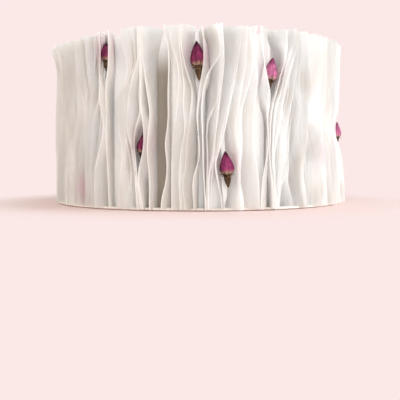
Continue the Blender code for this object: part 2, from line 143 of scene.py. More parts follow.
# %% [markdown]
# ## The free edges at the front
#
# The eye knows this cake by the lines of its front sheets: how they run together, part round a bud
# and meet again. A random pattern has no such rhythm, so the main lines are drawn, each as a few
# points that the edge passes through. All the other sheets are placed by a rule.

# %% Lines of the front sheets
# From left to right, each from its top down. A point is a step sideways and a step down in the front
# view, where 750 steps are as long as the distance.
SEEN_EDGES = (
    ((66, 43), (67, 80), (69, 110), (67, 150), (66, 203)),
    ((74, 40), (75, 60), (78, 82), (81, 100), (82, 118), (78, 140), (77, 165), (79, 203)),
    ((82, 38), (83, 60), (85, 80), (88, 97), (87, 115), (83, 130), (82, 150), (83, 203)),
    ((96, 40), (97, 70), (97, 95), (92, 110), (88.5, 125), (88, 150), (86, 165), (88, 185), (88, 203)),
    (
        (100, 40), (99, 70), (98, 95), (101, 107), (104.5, 125), (102, 143), (97.5, 158), (95, 172),
        (94, 203),
    ),
    (
        (108.3, 30), (108.3, 66), (106, 85), (106, 100), (108, 115), (106.5, 135), (107.5, 155),
        (109, 203),
    ),
    (
        (121, 32), (123, 50), (127, 66), (127, 75), (121, 87), (117, 100), (116.5, 115), (118, 130),
        (121, 145), (122, 160), (119, 180), (117, 203),
    ),
    (
        (137, 30), (139, 58), (131.5, 80), (129, 93), (128, 112), (126.5, 130), (131, 143), (134, 155),
        (135.5, 168), (135.5, 185), (137, 203),
    ),
    (
        (138.5, 30), (139.8, 62), (139.8, 80), (139, 95), (140.5, 112), (136, 124), (134, 138),
        (134.3, 150), (136.5, 167), (136.5, 182), (139, 195), (141, 204),
    ),
    (
        (140.5, 30), (141, 62), (141, 80), (140, 95), (141.5, 112), (144, 128), (144.5, 142),
        (142.5, 155), (138.5, 168), (137.5, 182), (139.5, 195), (142, 204),
    ),
    (
        (142, 30), (142.5, 62), (145, 80), (148, 97), (150.5, 113), (149, 125), (147.5, 140),
        (147, 155), (149, 172), (149.5, 188), (149, 203),
    ),
    (
        (163, 28), (167, 42), (169, 55), (168.8, 70), (168, 85), (168, 100), (168.5, 115), (167.5, 128),
        (165, 142), (165.3, 150), (167, 160), (167, 172), (165.5, 184), (162, 195), (160.5, 204),
    ),
    (
        (168.5, 28), (170.5, 42), (174, 54), (177, 63), (178.5, 75), (178, 88), (176.5, 100),
        (176.5, 113), (174.5, 125), (172, 140), (171.5, 155), (171, 175), (171, 204),
    ),
    (
        (178, 28), (179, 50), (181, 65), (183, 78), (183.5, 92), (182, 105), (184, 118), (185, 128),
        (182, 142), (180, 155), (179, 170), (178.5, 185), (180, 204),
    ),
    (
        (180, 28), (180.5, 42), (182, 55), (184.5, 65), (189, 77), (192, 87), (192, 96), (190.5, 108),
        (189, 122), (187, 138), (185.5, 152), (185, 168), (182.5, 180), (182, 190), (184.5, 204),
    ),
    (
        (202, 28), (204, 48), (204, 60), (203, 68), (200.5, 80), (199, 92), (197.5, 104), (196.5, 114),
        (197.5, 128), (199.5, 143), (200, 155), (198, 164), (194.5, 172), (192.5, 182), (192.5, 192),
        (194, 204),
    ),
    (
        (216, 24), (220.5, 33), (221.5, 45), (220.5, 55), (217, 62), (211, 67.5), (207, 72),
        (204.5, 82), (202.5, 94), (201, 108), (201.5, 118), (202.5, 135), (202.5, 150), (203, 168),
        (204, 184), (206, 204),
    ),
    (
        (221, 28), (222.5, 60), (221, 80), (217.5, 102), (212, 112), (208, 120), (206.7, 135),
        (208, 150), (208, 165), (207.5, 180), (207.5, 204),
    ),
    (
        (222, 28), (223.5, 42), (224, 58), (223.5, 70), (222, 84), (220.5, 95), (219, 110),
        (217.5, 122), (215.5, 135), (215, 147), (213.5, 158), (210.5, 168), (208.7, 180), (208.5, 204),
    ),
    (
        (241, 26), (239.5, 45), (236.5, 65), (233.5, 80), (230.5, 95), (227, 110), (225, 122),
        (221.5, 138), (216.5, 151), (214, 160), (213, 170), (212, 183), (211.5, 204),
    ),
    (
        (242.5, 26), (241, 45), (238, 65), (235, 80), (232, 95), (229, 108), (227, 119), (224, 132),
        (221, 145), (218.5, 153), (215, 163), (217, 174), (219.5, 186), (222, 204),
    ),
    (
        (245, 26), (243.5, 45), (241.5, 65), (238, 82), (234.5, 97), (231, 112), (228, 122),
        (227.5, 132), (231, 146), (235, 158), (238, 168), (237.5, 182), (235, 192), (232, 204),
    ),
    (
        (247, 26), (246.5, 50), (246, 65), (243, 80), (240.5, 95), (238, 110), (235.5, 122), (236, 132),
        (238.5, 145), (240, 155), (238.2, 168), (237.8, 180), (240, 192), (242, 204),
    ),
    (
        (250, 28), (251.5, 50), (253, 62), (251.5, 75), (248.5, 86), (245, 97), (242, 107),
        (240.8, 118), (241.5, 130), (242, 143), (241.2, 155), (239, 168), (238.5, 178), (241, 190),
        (244, 204),
    ),
    (
        (257.5, 26), (253.5, 38), (252, 48), (254.5, 58), (257.5, 70), (257.8, 80), (256.3, 92),
        (255, 104), (253.5, 115), (252.7, 128), (253.2, 142), (255, 155), (257, 168), (258.5, 182),
        (259, 204),
    ),
    (
        (260, 24), (260.5, 40), (262.5, 54), (264.5, 65), (266.8, 77), (269.5, 88), (270.5, 97),
        (269, 108), (267, 118), (267.5, 130), (268.3, 143), (267, 153), (264.3, 166), (262, 178),
        (261, 190), (260.3, 204),
    ),
    (
        (287, 32), (288, 50), (286.5, 60), (281, 74), (277.5, 88), (274, 101), (271.5, 115),
        (270.3, 128), (269.8, 142), (269, 155), (270, 168), (272, 182), (274.5, 204),
    ),
    (
        (297, 32), (295, 45), (291.5, 56), (287, 67), (284.5, 80), (281, 95), (277.5, 106),
        (275.5, 120), (273.5, 135), (272, 150), (273, 165), (274.5, 180), (276.5, 204),
    ),
    (
        (298.5, 34), (297.5, 50), (294, 62), (290, 75), (287, 90), (284, 105), (282.5, 120), (281, 130),
        (277.5, 143), (275, 153), (275, 165), (276, 182), (278, 204),
    ),
    (
        (303, 34), (301, 60), (297, 85), (292, 110), (288, 130), (287.5, 145), (287, 158), (285, 170),
        (283, 184), (280.5, 204),
    ),
    (
        (305, 34), (304.5, 55), (303, 75), (303.5, 92), (304, 110), (302.5, 128), (303.5, 145),
        (305, 158), (304, 170), (304.8, 182), (307, 195), (308, 204),
    ),
    (
        (311, 32), (311, 50), (310.5, 65), (311, 85), (311, 105), (311.3, 125), (311, 143),
        (307.5, 156), (305, 168), (305.5, 180), (308, 192), (309, 204),
    ),
    (
        (314, 30), (313, 48), (313.5, 62), (315.5, 78), (317, 92), (315.5, 105), (313, 117), (312, 130),
        (312.5, 145), (311.5, 160), (311.5, 178), (312, 204),
    ),
    (
        (320, 30), (320, 60), (320, 85), (318, 105), (314.5, 116), (320, 124), (323, 133), (325.5, 146),
        (325.5, 153), (322, 163), (319.5, 174), (320, 186), (323, 204),
    ),
    (
        (333, 34), (332.5, 60), (332, 90), (331.5, 115), (331, 135), (330.5, 150), (330.5, 175),
        (330.5, 204),
    ),
)
# Places where the front looks deep between two sheets: azimuth and height
CLEAR_CELLS = ((-12.3, 0.060), (-12.3, 0.100))
FRONT_VIEW = {"middle": (200, 200), "steps": 750, "eye": (0.0012, -0.626, 0.037), "tilt": 3.28}
print("drawn lines:", len(SEEN_EDGES), "with", sum(len(line) for line in SEEN_EDGES), "points")

# %% [markdown]
# ## Where the sheets stand
#
# Drawing every sheet by hand would take days, and pure noise would let them cut through each other.
# So each sheet first wanders by a sum of slow slanting waves. Openings then push them aside, and
# neighbours that come too close push each other apart, over and over, until the row settles. Edges
# and roots are settled in turn, because a sheet bends far more at its free edge than where it is
# stuck on.

# %% Numbers for the row of sheets
LEVELS = 49
RANDOM_SEED = 11
SETTLE_TURNS = 260
NEIGHBOURHOOD = 0.030
LEAN_WAVES = (6, 9, 17, 0.0048, (0.16, 0.60))
SLOW_WAVES = (9, 14, 26, 0.0026, (0.09, 0.22))
QUICK_WAVES = (24, 26, 74, 0.0020, (0.04, 0.11))
MIDDLE_SHARE = 0.55
MIDDLE_BEND = 0.30

# On the left the free edges stand to the left of the roots, and on the right straight before them:
# azimuth and how far the roots are to the right.
LEANS = (
    (-180, 0.0), (-120, 0.0), (-75, 0.004), (-45, 0.008), (-6, 0.012), (10, -0.012), (35, -0.007),
    (62, 0.0), (180, 0.0),
)

# The sheets between two traced edges end so much sooner, and roots stand at least a step apart.
SHORTER = (0.0030, 0.0065)
FILL_WIDTH = 0.0034
MOST_FILLED = 3
BARE_CELLS = range(11, 26)
CLEAR_MARGIN = 0.002
SWAY_PITCHES = (0.04, 0.09)
SWAY_SHARES = (0.1, 0.25)
UNEVEN_FROM = 38
UNEVEN_EDGES = 0.0045
ROOT_STEP = 0.0010
HELD_SHEETS = 10
ROOT_FOLLOWS = 0.06
EDGE_SMOOTH = 0.06
BEND_SMOOTH = 0.22
PULL_BACK = 0.06
FREE_SHARE = 0.75
LOOSE_FOOT = 0.75
LOOSE_TOP = 0.6
SORTING_TURNS = 400

# Roots of the sheets beside the deep valley: number of the traced edge, azimuth of its root, and how
# far the root has moved to the right at the top.
VALLEY_ROOTS = ((9, -16.4, 0.0032), (10, -15.7, 0.0032), (11, -10.6, 0.0))
MOVED_FROM = 0.098
MOVED_OVER = 0.024
HEIGHTS = np.linspace(0.0, SHEET_TOP + 0.006, LEVELS)
print("levels", round(1000 * HEIGHTS[1], 2), "mm apart")

# %% Places on the circle, and what the front view shows there
def arc_at(azimuth_deg):
    return math.radians(azimuth_deg) * EDGE_RADIUS


def around(distance):
    """A distance along the circle, taken the shorter way."""
    return (distance + CIRCLE / 2) % CIRCLE - CIRCLE / 2


def level_at(height):
    return int(np.argmin(np.abs(HEIGHTS - height)))


def reach_circle(eye, sight):
    """How far along a line of sight the circle of the edges is first met, seen from above."""
    half = sight @ eye
    square = sight @ sight
    return (-half - math.sqrt(half**2 - square * (eye @ eye - EDGE_RADIUS**2))) / square


def on_side(across, down):
    """The arc and height where the line of sight of a point in the front view meets the edges' circle."""
    eye = np.array(FRONT_VIEW["eye"])
    tilt = math.radians(FRONT_VIEW["tilt"])
    right = (across - FRONT_VIEW["middle"][0]) / FRONT_VIEW["steps"]
    rise = (FRONT_VIEW["middle"][1] - down) / FRONT_VIEW["steps"]
    ahead = math.cos(tilt) + rise * math.sin(tilt)
    sight = np.array([right, ahead, rise * math.cos(tilt) - math.sin(tilt)])
    spot = eye + reach_circle(eye[:2], sight[:2]) * sight
    return math.atan2(spot[0], -spot[1]) * EDGE_RADIUS, spot[2]


def seen_curve(points):
    """The arc of one traced edge at every level."""
    spots = sorted((on_side(*point) for point in points), key=lambda spot: spot[1])
    heights = [height for arc, height in spots]
    arcs = [arc for arc, height in spots]
    return np.interp(HEIGHTS, heights, arcs)


def seen_before(azimuth_deg, radius):
    """The arc on the edges' circle that the front view shows in front of a point."""
    eye = np.array(FRONT_VIEW["eye"][:2])
    angle = math.radians(azimuth_deg)
    spot = radius * np.array([math.sin(angle), -math.cos(angle)])
    sight = spot - eye
    front = eye + reach_circle(eye, sight) * sight
    return math.atan2(front[0], -front[1]) * EDGE_RADIUS


print("the middle of the view meets the edges", round(1000 * on_side(200, 200)[1], 1), "mm up")

# %% [markdown]
# ### Openings for the buds
#
# An opening is as wide as its bud at the sheets' edges and nearly shut at their roots, so that the bud
# lies in a pocket. It is an oval that narrows to a point above and below, where the sheets meet again.

# %% Openings
Opening = namedtuple("Opening", "arc seen height edge root half_height square slant")
SQUARENESS = 2.6
SEEN_AZIMUTH = 50
ENDS_ROUNDED = 0.75


def bud_openings():
    found = []
    for azimuth, height, radius, lean, size in ROSEBUDS:
        deep = radius < OUT
        room = BUD_RADIUS * size + BUD_CLEARANCE
        edge = room + (DEEP_ROOM_EDGE if deep else ROOM_EDGE)
        root = room + DEEP_ROOM_ROOT if deep else POCKET_ROOT
        half_height = (BUD_LENGTH + HIP_LENGTH) / 2 * size + ROOM_ENDS
        middle = height - HIP_LENGTH / 2 * size
        slant = math.tan(math.radians(lean))
        arc = arc_at(azimuth)
        seen = seen_before(azimuth, radius) if abs(azimuth) < SEEN_AZIMUTH and not deep else arc
        found.append(Opening(arc, seen, middle, edge, root, half_height, SQUARENESS, slant))
    return found


def walls(opening, width):
    """The levels that an opening spans, and the arcs of its left and right side there."""
    reach = np.abs((HEIGHTS - opening.height) / opening.half_height)
    levels = np.nonzero(reach < 1)[0]
    open_by = width * (1 - reach[levels] ** opening.square) ** ENDS_ROUNDED
    middle = opening.arc + opening.slant * (HEIGHTS[levels] - opening.height)
    return levels, middle - open_by, middle + open_by


openings = bud_openings()
print("openings:", len(openings), "each about", round(2000 * openings[1].half_height), "mm tall")

# %% [markdown]
# ### Waves, and room between neighbours
#
# Waves of three sizes make the sheets lean, sway and flutter. Then the row settles: each sheet is
# drawn back to its wave, smoothed, kept out of the openings and pushed off its neighbours, a little
# at a time.

# %% Waves and settling
def wander(arcs, draw):
    """How far each sheet strays from its start at every level, as a sum of slanting waves."""
    azimuths = arcs[:, None] / EDGE_RADIUS
    total = np.zeros((len(arcs), LEVELS))
    looser = LOOSE_FOOT + LOOSE_TOP * (HEIGHTS / SHEET_TOP) ** 2
    for count, fewest, most, reach, pitches in (LEAN_WAVES, SLOW_WAVES, QUICK_WAVES):
        for _ in range(count):
            lobes = draw.integers(fewest, most)
            pitch = draw.uniform(*pitches) * draw.choice((-1, 1))
            phase = draw.uniform(0.0, math.tau)
            wave = np.cos(lobes * azimuths + math.tau * HEIGHTS[None, :] / pitch + phase)
            total += wave * looser[None, :] * reach * math.sqrt(2.0 / count)
    return total


def keep_out(places, sides, starts, opening, width):
    """Moves every sheet that stands in an opening to the side that it belongs to."""
    levels, left_wall, right_wall = walls(opening, width)
    offset = around(starts - opening.arc)
    turns = np.round((starts - opening.arc - offset) / CIRCLE) * CIRCLE
    for side, wall, pick in ((-1, left_wall, np.minimum), (1, right_wall, np.maximum)):
        near = np.nonzero((sides == side) & (np.abs(offset) < NEIGHBOURHOOD))[0]
        cells = np.ix_(near, levels)
        places[cells] = pick(places[cells], wall[None, :] + turns[near, None])


def settle(wanted, starts, openings, widths, sides, smooth=BEND_SMOOTH):
    """Moves the sheets until each is near its wanted place, bends softly and touches no other."""
    places = wanted.copy()
    for turn in range(SETTLE_TURNS):
        if turn < SETTLE_TURNS * FREE_SHARE:
            places += PULL_BACK * (wanted - places)
            bend = places[:, 2:] - 2 * places[:, 1:-1] + places[:, :-2]
            places[:, 1:-1] += smooth * bend
        for opening, width, side in zip(openings, widths, sides):
            keep_out(places, side, starts, opening, width)
        ahead = np.roll(places, -1, axis=0)
        ahead[-1] += CIRCLE
        push = np.maximum(0, SHEET_GAP - (ahead - places)) / 2
        places -= push
        places += np.roll(push, 1, axis=0)
    return places


print("a row settles in", SETTLE_TURNS, "turns")

# %% [markdown]
# ### The whole row
#
# The drawn lines take the nearest sheets of an even row. Where two of them stand far apart, shorter
# sheets fill the gap behind their edges. The valley left of the middle keeps its own roots, so that it
# stays open to the icing.

# %% Drawn lines and roots
def traced_sheets(starts):
    """Which sheet each traced edge belongs to, in order and one sheet each."""
    curves = [seen_curve(points) for points in SEEN_EDGES]
    picked = []
    for curve in curves:
        nearest = int(np.argmin(np.abs(starts - curve.mean())))
        picked.append(nearest)
    for _ in range(SORTING_TURNS):
        for number in range(len(picked) - 1):
            if picked[number] >= picked[number + 1]:
                if number % 2:
                    picked[number + 1] = picked[number] + 1
                else:
                    picked[number] = picked[number + 1] - 1
    return picked, curves


def hold_root(roots, sheet, arc):
    """Sets one root, and keeps those on its left and right on their own sides of it."""
    roots[sheet] = arc
    steps = np.arange(len(roots)) - sheet
    limit = arc + ROOT_STEP * steps
    before = (steps < 0) & (steps > -HELD_SHEETS)
    after = (steps > 0) & (steps < HELD_SHEETS)
    roots[before] = np.minimum(roots, limit)[before]
    roots[after] = np.maximum(roots, limit)[after]


def nearest_root(roots, azimuth):
    return int(np.argmin(np.abs(roots - arc_at(azimuth))))


def close_pocket(roots, starts, opening, side):
    """Brings the roots beside a bud together, so that its opening ends in a pocket."""
    offset = around(starts - opening.arc)
    near = np.abs(offset) < NEIGHBOURHOOD
    left = int(np.argmax(np.where(near & (side < 0), offset, -1)))
    right = int(np.argmin(np.where(near & (side > 0), offset, 1)))
    hold_root(roots, left, starts[left] - offset[left] - POCKET_ROOT)
    hold_root(roots, right, starts[right] - offset[right] + POCKET_ROOT)


# %% Full and shorter sheets
def first_places(draw):
    """An even row of sheets that wander, some of them on the drawn lines."""
    even = np.arange(SHEET_COUNT) + draw.uniform(-0.3, 0.3, SHEET_COUNT)
    starts = even / SHEET_COUNT * CIRCLE - CIRCLE / 2
    wanted = starts[:, None] + wander(starts, draw)
    picked, curves = traced_sheets(starts)
    for number, sheet in enumerate(picked):
        wanted[sheet] = curves[number]
    roots = starts + np.interp(np.degrees(starts / EDGE_RADIUS), *zip(*LEANS))
    for number, azimuth, moved in VALLEY_ROOTS:
        roots[picked[number]] = arc_at(azimuth)
    return starts, roots, wanted, picked, curves


def shorter_sheets(number, starts, roots, picked, curves, clear_arcs, draw):
    """The sheets between one drawn line and the next, none where the view has to stay deep."""
    left, right = curves[number], curves[number + 1]
    here, following = picked[number], picked[number + 1]
    clear = number in BARE_CELLS
    for arc, height in clear_arcs:
        level = level_at(height)
        clear = clear or left[level] - CLEAR_MARGIN < arc < right[level] + CLEAR_MARGIN
    more = 0 if clear else min(MOST_FILLED, int((right - left).mean() / FILL_WIDTH))
    rows = []
    for step in range(1, more + 1):
        share = step / (more + 1)
        start = starts[here] + share * (starts[following] - starts[here])
        root = roots[here] + share * (roots[following] - roots[here])
        sway = np.sin(math.tau * (HEIGHTS / draw.uniform(*SWAY_PITCHES) + draw.uniform()))
        arcs = left + (share + draw.uniform(*SWAY_SHARES) * sway) * (right - left)
        rows.append((start, root, draw.uniform(*SHORTER), arcs))
    return rows


def whole_row(openings, draw):
    """Each sheet's start, root, how much sooner it ends, and where its free edge wants to be."""
    starts, roots, wanted, picked, curves = first_places(draw)
    clear_arcs = [(opening.seen, opening.height) for opening in openings]
    clear_arcs += [(arc_at(azimuth), height) for azimuth, height in CLEAR_CELLS]
    rows = []
    for sheet in range(SHEET_COUNT):
        if sheet in picked or not picked[0] < sheet < picked[-1]:
            rows.append((starts[sheet], roots[sheet], 0.0, wanted[sheet]))
        if sheet in picked[:-1]:
            number = picked.index(sheet)
            rows += shorter_sheets(number, starts, roots, picked, curves, clear_arcs, draw)
    return (np.array(column) for column in zip(*rows))


# %% Settle the row
def sheet_places():
    """The sheets' starts, the arcs of their edges, middles and roots, and how much sooner they end."""
    draw = np.random.default_rng(RANDOM_SEED)
    starts, roots, short, wanted = whole_row(openings, draw)
    for number, azimuth, moved in VALLEY_ROOTS:
        hold_root(roots, nearest_root(roots, azimuth), arc_at(azimuth))
    wanted = np.sort(wanted, axis=0)
    sides = [
        np.sign(around(wanted[:, level_at(opening.height)] - opening.seen) + 1e-9)
        for opening in openings
    ]
    edge = settle(wanted, starts, (), (), (), smooth=EDGE_SMOOTH)
    for opening, side in zip(openings, sides):
        if opening.root == POCKET_ROOT:
            close_pocket(roots, starts, opening, side)
    root_wanted = roots[:, None] + ROOT_FOLLOWS * (edge - starts[:, None])
    for number, azimuth, moved in VALLEY_ROOTS:
        upper = np.clip((HEIGHTS - MOVED_FROM) / MOVED_OVER, 0.0, 1.0) ** 2
        root_wanted[nearest_root(roots, azimuth)] += moved * upper
    root = settle(root_wanted, starts, openings, [opening.root for opening in openings], sides)
    half_wanted = root + MIDDLE_BEND * (edge - root)
    half = settle(half_wanted, starts, openings, [opening.edge for opening in openings], sides)
    return starts, edge, half, root, short


# How much a sheet's outline may differ: its edge, the bow of the edge, its two upper corners, its foot
SHEET_SPREAD = {
    "edge": (-0.0016, 0.0010),
    "bow": (-0.0012, 0.0008),
    "top_outer": (-0.0004, 0.0016),
    "top_inner": (-0.0008, 0.0014),
    "foot": (-0.0004, 0.0004),
}


def sheet_outline(draw):
    outline = {name: draw.uniform(*spread) for name, spread in SHEET_SPREAD.items()}
    outline["bow_phase"] = draw.uniform(0.0, math.tau)
    return outline


starts, edge_arcs, half_arcs, root_arcs, shorter = sheet_places()
outline_draw = np.random.default_rng(RANDOM_SEED + 1)
outlines = [sheet_outline(outline_draw) for _ in starts]
for outline, less, start in zip(outlines, shorter, starts):
    outline["edge"] -= less
    if abs(math.degrees(start / EDGE_RADIUS)) > UNEVEN_FROM and less == 0:
        outline["edge"] -= outline_draw.uniform(0.0, UNEVEN_EDGES)
widest = np.abs(edge_arcs - starts[:, None]).max()
print("sheets:", len(starts), "widest sway", round(1000 * widest, 1), "mm")

# %% [markdown]
# ## Wafer paper
#
# Wafer paper is a pressed sheet of starch. It is matt and very white, it lets much light through, and
# where it dried unevenly it is thinner and clearer in upright streaks. Glass or a see-through surface
# would show what lies behind, so the paper is mostly Translucent, which passes soft light and no
# image. A stretched noise makes the streaks and the faint ripple, and a finer one the fibres.

# %% Small helpers for materials
def new_material(name):
    made = bpy.data.materials.new(name)
    made.use_nodes = True
    tree = made.node_tree
    return made, tree, tree.nodes["Principled BSDF"], tree.nodes["Material Output"]


def add(tree, kind, **values):
    node = tree.nodes.new(kind)
    for name, value in values.items():
        if name in node.inputs:
            node.inputs[name].default_value = value
        else:
            setattr(node, name, value)
    return node


def stretched(tree, place, scale):
    """A place whose patterns are drawn out along the directions with a small scale."""
    node = add(tree, "ShaderNodeMapping", Scale=scale)
    tree.links.new(place, node.inputs["Vector"])
    return node.outputs["Vector"]


def noise(tree, place, **values):
    node = add(tree, "ShaderNodeTexNoise", **values)
    tree.links.new(place, node.inputs["Vector"])
    return node.outputs["Fac"]


def smooth_mask(tree, source, start, end, most=1.0):
    """A mask that rises softly from 0 while its source goes from start to end."""
    node = add(tree, "ShaderNodeMapRange", interpolation_type="SMOOTHSTEP")
    node.inputs["From Min"].default_value = start
    node.inputs["From Max"].default_value = end
    node.inputs["To Max"].default_value = most
    tree.links.new(source, node.inputs["Value"])
    return node.outputs["Result"]


def calculate(tree, operation, first, second):
    """One sum of two sources, the second a number or a source."""
    node = add(tree, "ShaderNodeMath", operation=operation)
    tree.links.new(first, node.inputs[0])
    if isinstance(second, float):
        node.inputs[1].default_value = second
    else:
        tree.links.new(second, node.inputs[1])
    return node.outputs[0]


def blend_colours(tree, mask, low, high):
    """One colour where the mask is 0 and another where it is 1, each a source or numbers."""
    node = add(tree, "ShaderNodeMix", data_type="RGBA")
    tree.links.new(mask, node.inputs[0])
    for number, colour in ((6, low), (7, high)):
        if isinstance(colour, tuple):
            node.inputs[number].default_value = (*colour, 1.0)
        else:
            tree.links.new(colour, node.inputs[number])
    return node.outputs[2]


def relief(tree, height, strength, distance, under=None):
    """A bump that bends the light on a surface, on top of a finer bump if there is one."""
    node = add(tree, "ShaderNodeBump", Strength=strength, Distance=distance)
    tree.links.new(height, node.inputs["Height"])
    if under:
        tree.links.new(under, node.inputs["Normal"])
    return node.outputs["Normal"]


# %% Wafer paper
THIN_PAPER = (0.955, 0.943, 0.925)
THICK_PAPER = (0.995, 0.994, 0.992)
# Pink on the paper: a tint beside each bud, and painted glow on the sheet before each deep bud, standing
# in for light through the paper
ROSE_TINT_AND_PAINTED_GLOW = (0.90, 0.58, 0.68)
LIGHT_THROUGH = 0.85


def wafer_material():
    made, tree, shader, output = new_material("wafer_paper")
    link = tree.links.new
    place = add(tree, "ShaderNodeTexCoord").outputs["Object"]
    upright = stretched(tree, place, (1.0, 1.0, 0.20))
    ripple = noise(tree, upright, Scale=190.0, Detail=3.0, Distortion=0.4)
    streaks = smooth_mask(tree, ripple, 0.36, 0.60)
    # Pink tint beside the buds, and painted glow before the deep buds, read as a number on the sheets'
    # points
    tint_and_glow = add(tree, "ShaderNodeAttribute", attribute_name="rose_tint_and_painted_glow").outputs["Fac"]
    paper = blend_colours(tree, streaks, THIN_PAPER, THICK_PAPER)
    colour = blend_colours(tree, tint_and_glow, paper, ROSE_TINT_AND_PAINTED_GLOW)
    fibres = relief(tree, noise(tree, place, Scale=900.0, Detail=2.0), 0.15, 0.0003)
    surface = relief(tree, ripple, 0.6, 0.0010, under=fibres)
    shader.inputs["Roughness"].default_value = 0.55
    through = add(tree, "ShaderNodeBsdfTranslucent")
    for half, name in ((shader, "Base Color"), (through, "Color")):
        link(colour, half.inputs[name])
        link(surface, half.inputs["Normal"])
    mix = add(tree, "ShaderNodeMixShader", Fac=LIGHT_THROUGH)
    link(shader.outputs["BSDF"], mix.inputs[1])
    link(through.outputs["BSDF"], mix.inputs[2])
    link(mix.outputs["Shader"], output.inputs["Surface"])
    return made


wafer = wafer_material()
print(wafer.name, "of", len(wafer.node_tree.nodes), "nodes")

# %% [markdown]
# ## Icing
#
# Buttercream is ivory and slightly glossy, and a palette knife leaves broad, shallow sweeps in it as
# the cake turns. Sculpting every sweep isn't worth it on so low a relief, so rings with strong
# distortion, mixed with a soft noise, raise the surface and shade it together.

# %% Icing
SHADED_ICING = (0.86, 0.80, 0.71)
BRIGHT_ICING = (0.92, 0.885, 0.83)
RINGS_SHARE = 0.55


def icing_material():
    """Ivory buttercream, smoothed with a palette knife that leaves shallow sweeps."""
    made, tree, shader, output = new_material("icing")
    link = tree.links.new
    place = add(tree, "ShaderNodeTexCoord").outputs["Object"]
    sweep = noise(tree, place, Scale=9.0, Detail=1.5, Distortion=1.6)
    rings = add(tree, "ShaderNodeTexWave", wave_type="RINGS", rings_direction="Z")
    for name, value in (("Scale", 9.0), ("Distortion", 5.0), ("Detail", 2.0), ("Detail Scale", 1.2)):
        rings.inputs[name].default_value = value
    link(place, rings.inputs["Vector"])
    marks = add(tree, "ShaderNodeMix", data_type="FLOAT")
    marks.inputs[0].default_value = RINGS_SHARE
    link(sweep, marks.inputs[2])
    link(rings.outputs["Fac"], marks.inputs[3])
    marks = marks.outputs[0]
    link(blend_colours(tree, marks, SHADED_ICING, BRIGHT_ICING), shader.inputs["Base Color"])
    grain = relief(tree, noise(tree, place, Scale=420.0, Detail=3.0), 0.25, 0.0003)
    link(relief(tree, marks, 0.8, 0.0012, under=grain), shader.inputs["Normal"])
    shader.inputs["Roughness"].default_value = 0.48
    return made


icing = icing_material()
print(icing.name, "of", len(icing.node_tree.nodes), "nodes")

# %% [markdown]
# ### Painted shade in the deep valley
#
# The band's icing is white. In one deep valley between the sheets, a dark beige patch is painted
# shade that stands in for the shadow there. A mask made from the place on the cake colours that patch,
# and the bump of the icing stays.

# %% Painted shade in the deep valley
VALLEY_LEFT = -0.0300
VALLEY_RIGHT = -0.0205
VALLEY_FADE = 0.004
PAINTED_SHADE_HEIGHTS = (0.119, 0.092)
FRONT_HALF = (0.0, -0.02)
WHITE_ICING = (0.96, 0.955, 0.945)
# Painted shade: this dark beige stands in for the shadow deep in the valley, and is not the icing's own
# colour
VALLEY_PAINTED_SHADE = (0.30, 0.26, 0.21)


def band_material_with_painted_shade():
    """The icing of the band, with painted shade: a dark beige patch in the one deep valley between sheets.
    """
    made = icing.copy()
    made.name = "icing_band"
    tree = made.node_tree
    parts = add(tree, "ShaderNodeSeparateXYZ")
    tree.links.new(add(tree, "ShaderNodeTexCoord").outputs["Object"], parts.inputs["Vector"])
    mask = smooth_mask(tree, parts.outputs["X"], VALLEY_LEFT - VALLEY_FADE, VALLEY_LEFT)
    for source, start, end in (
        ("X", VALLEY_RIGHT + VALLEY_FADE, VALLEY_RIGHT),
        ("Y", *FRONT_HALF),
        ("Z", *PAINTED_SHADE_HEIGHTS),
    ):
        side = smooth_mask(tree, parts.outputs[source], start, end)
        mask = calculate(tree, "MULTIPLY", mask, side)
    # Painted shade: the mask makes the band dark beige in the deep valley
    band_colour_with_painted_shade = blend_colours(tree, mask, WHITE_ICING, VALLEY_PAINTED_SHADE)
    tree.links.new(band_colour_with_painted_shade, tree.nodes["Principled BSDF"].inputs["Base Color"])
    return made


band_icing = band_material_with_painted_shade()
print(band_icing.name, "of", len(band_icing.node_tree.nodes), "nodes")

# %% [markdown]
# ## Petals
#
# A dried petal is creased along its length, pale where it was covered, and darkest at its tip and
# edges. Each petal has its own map, across and up, so the colours can follow it wherever it is
# turned. Three tones share one group of nodes, and each gives it its own three colours.

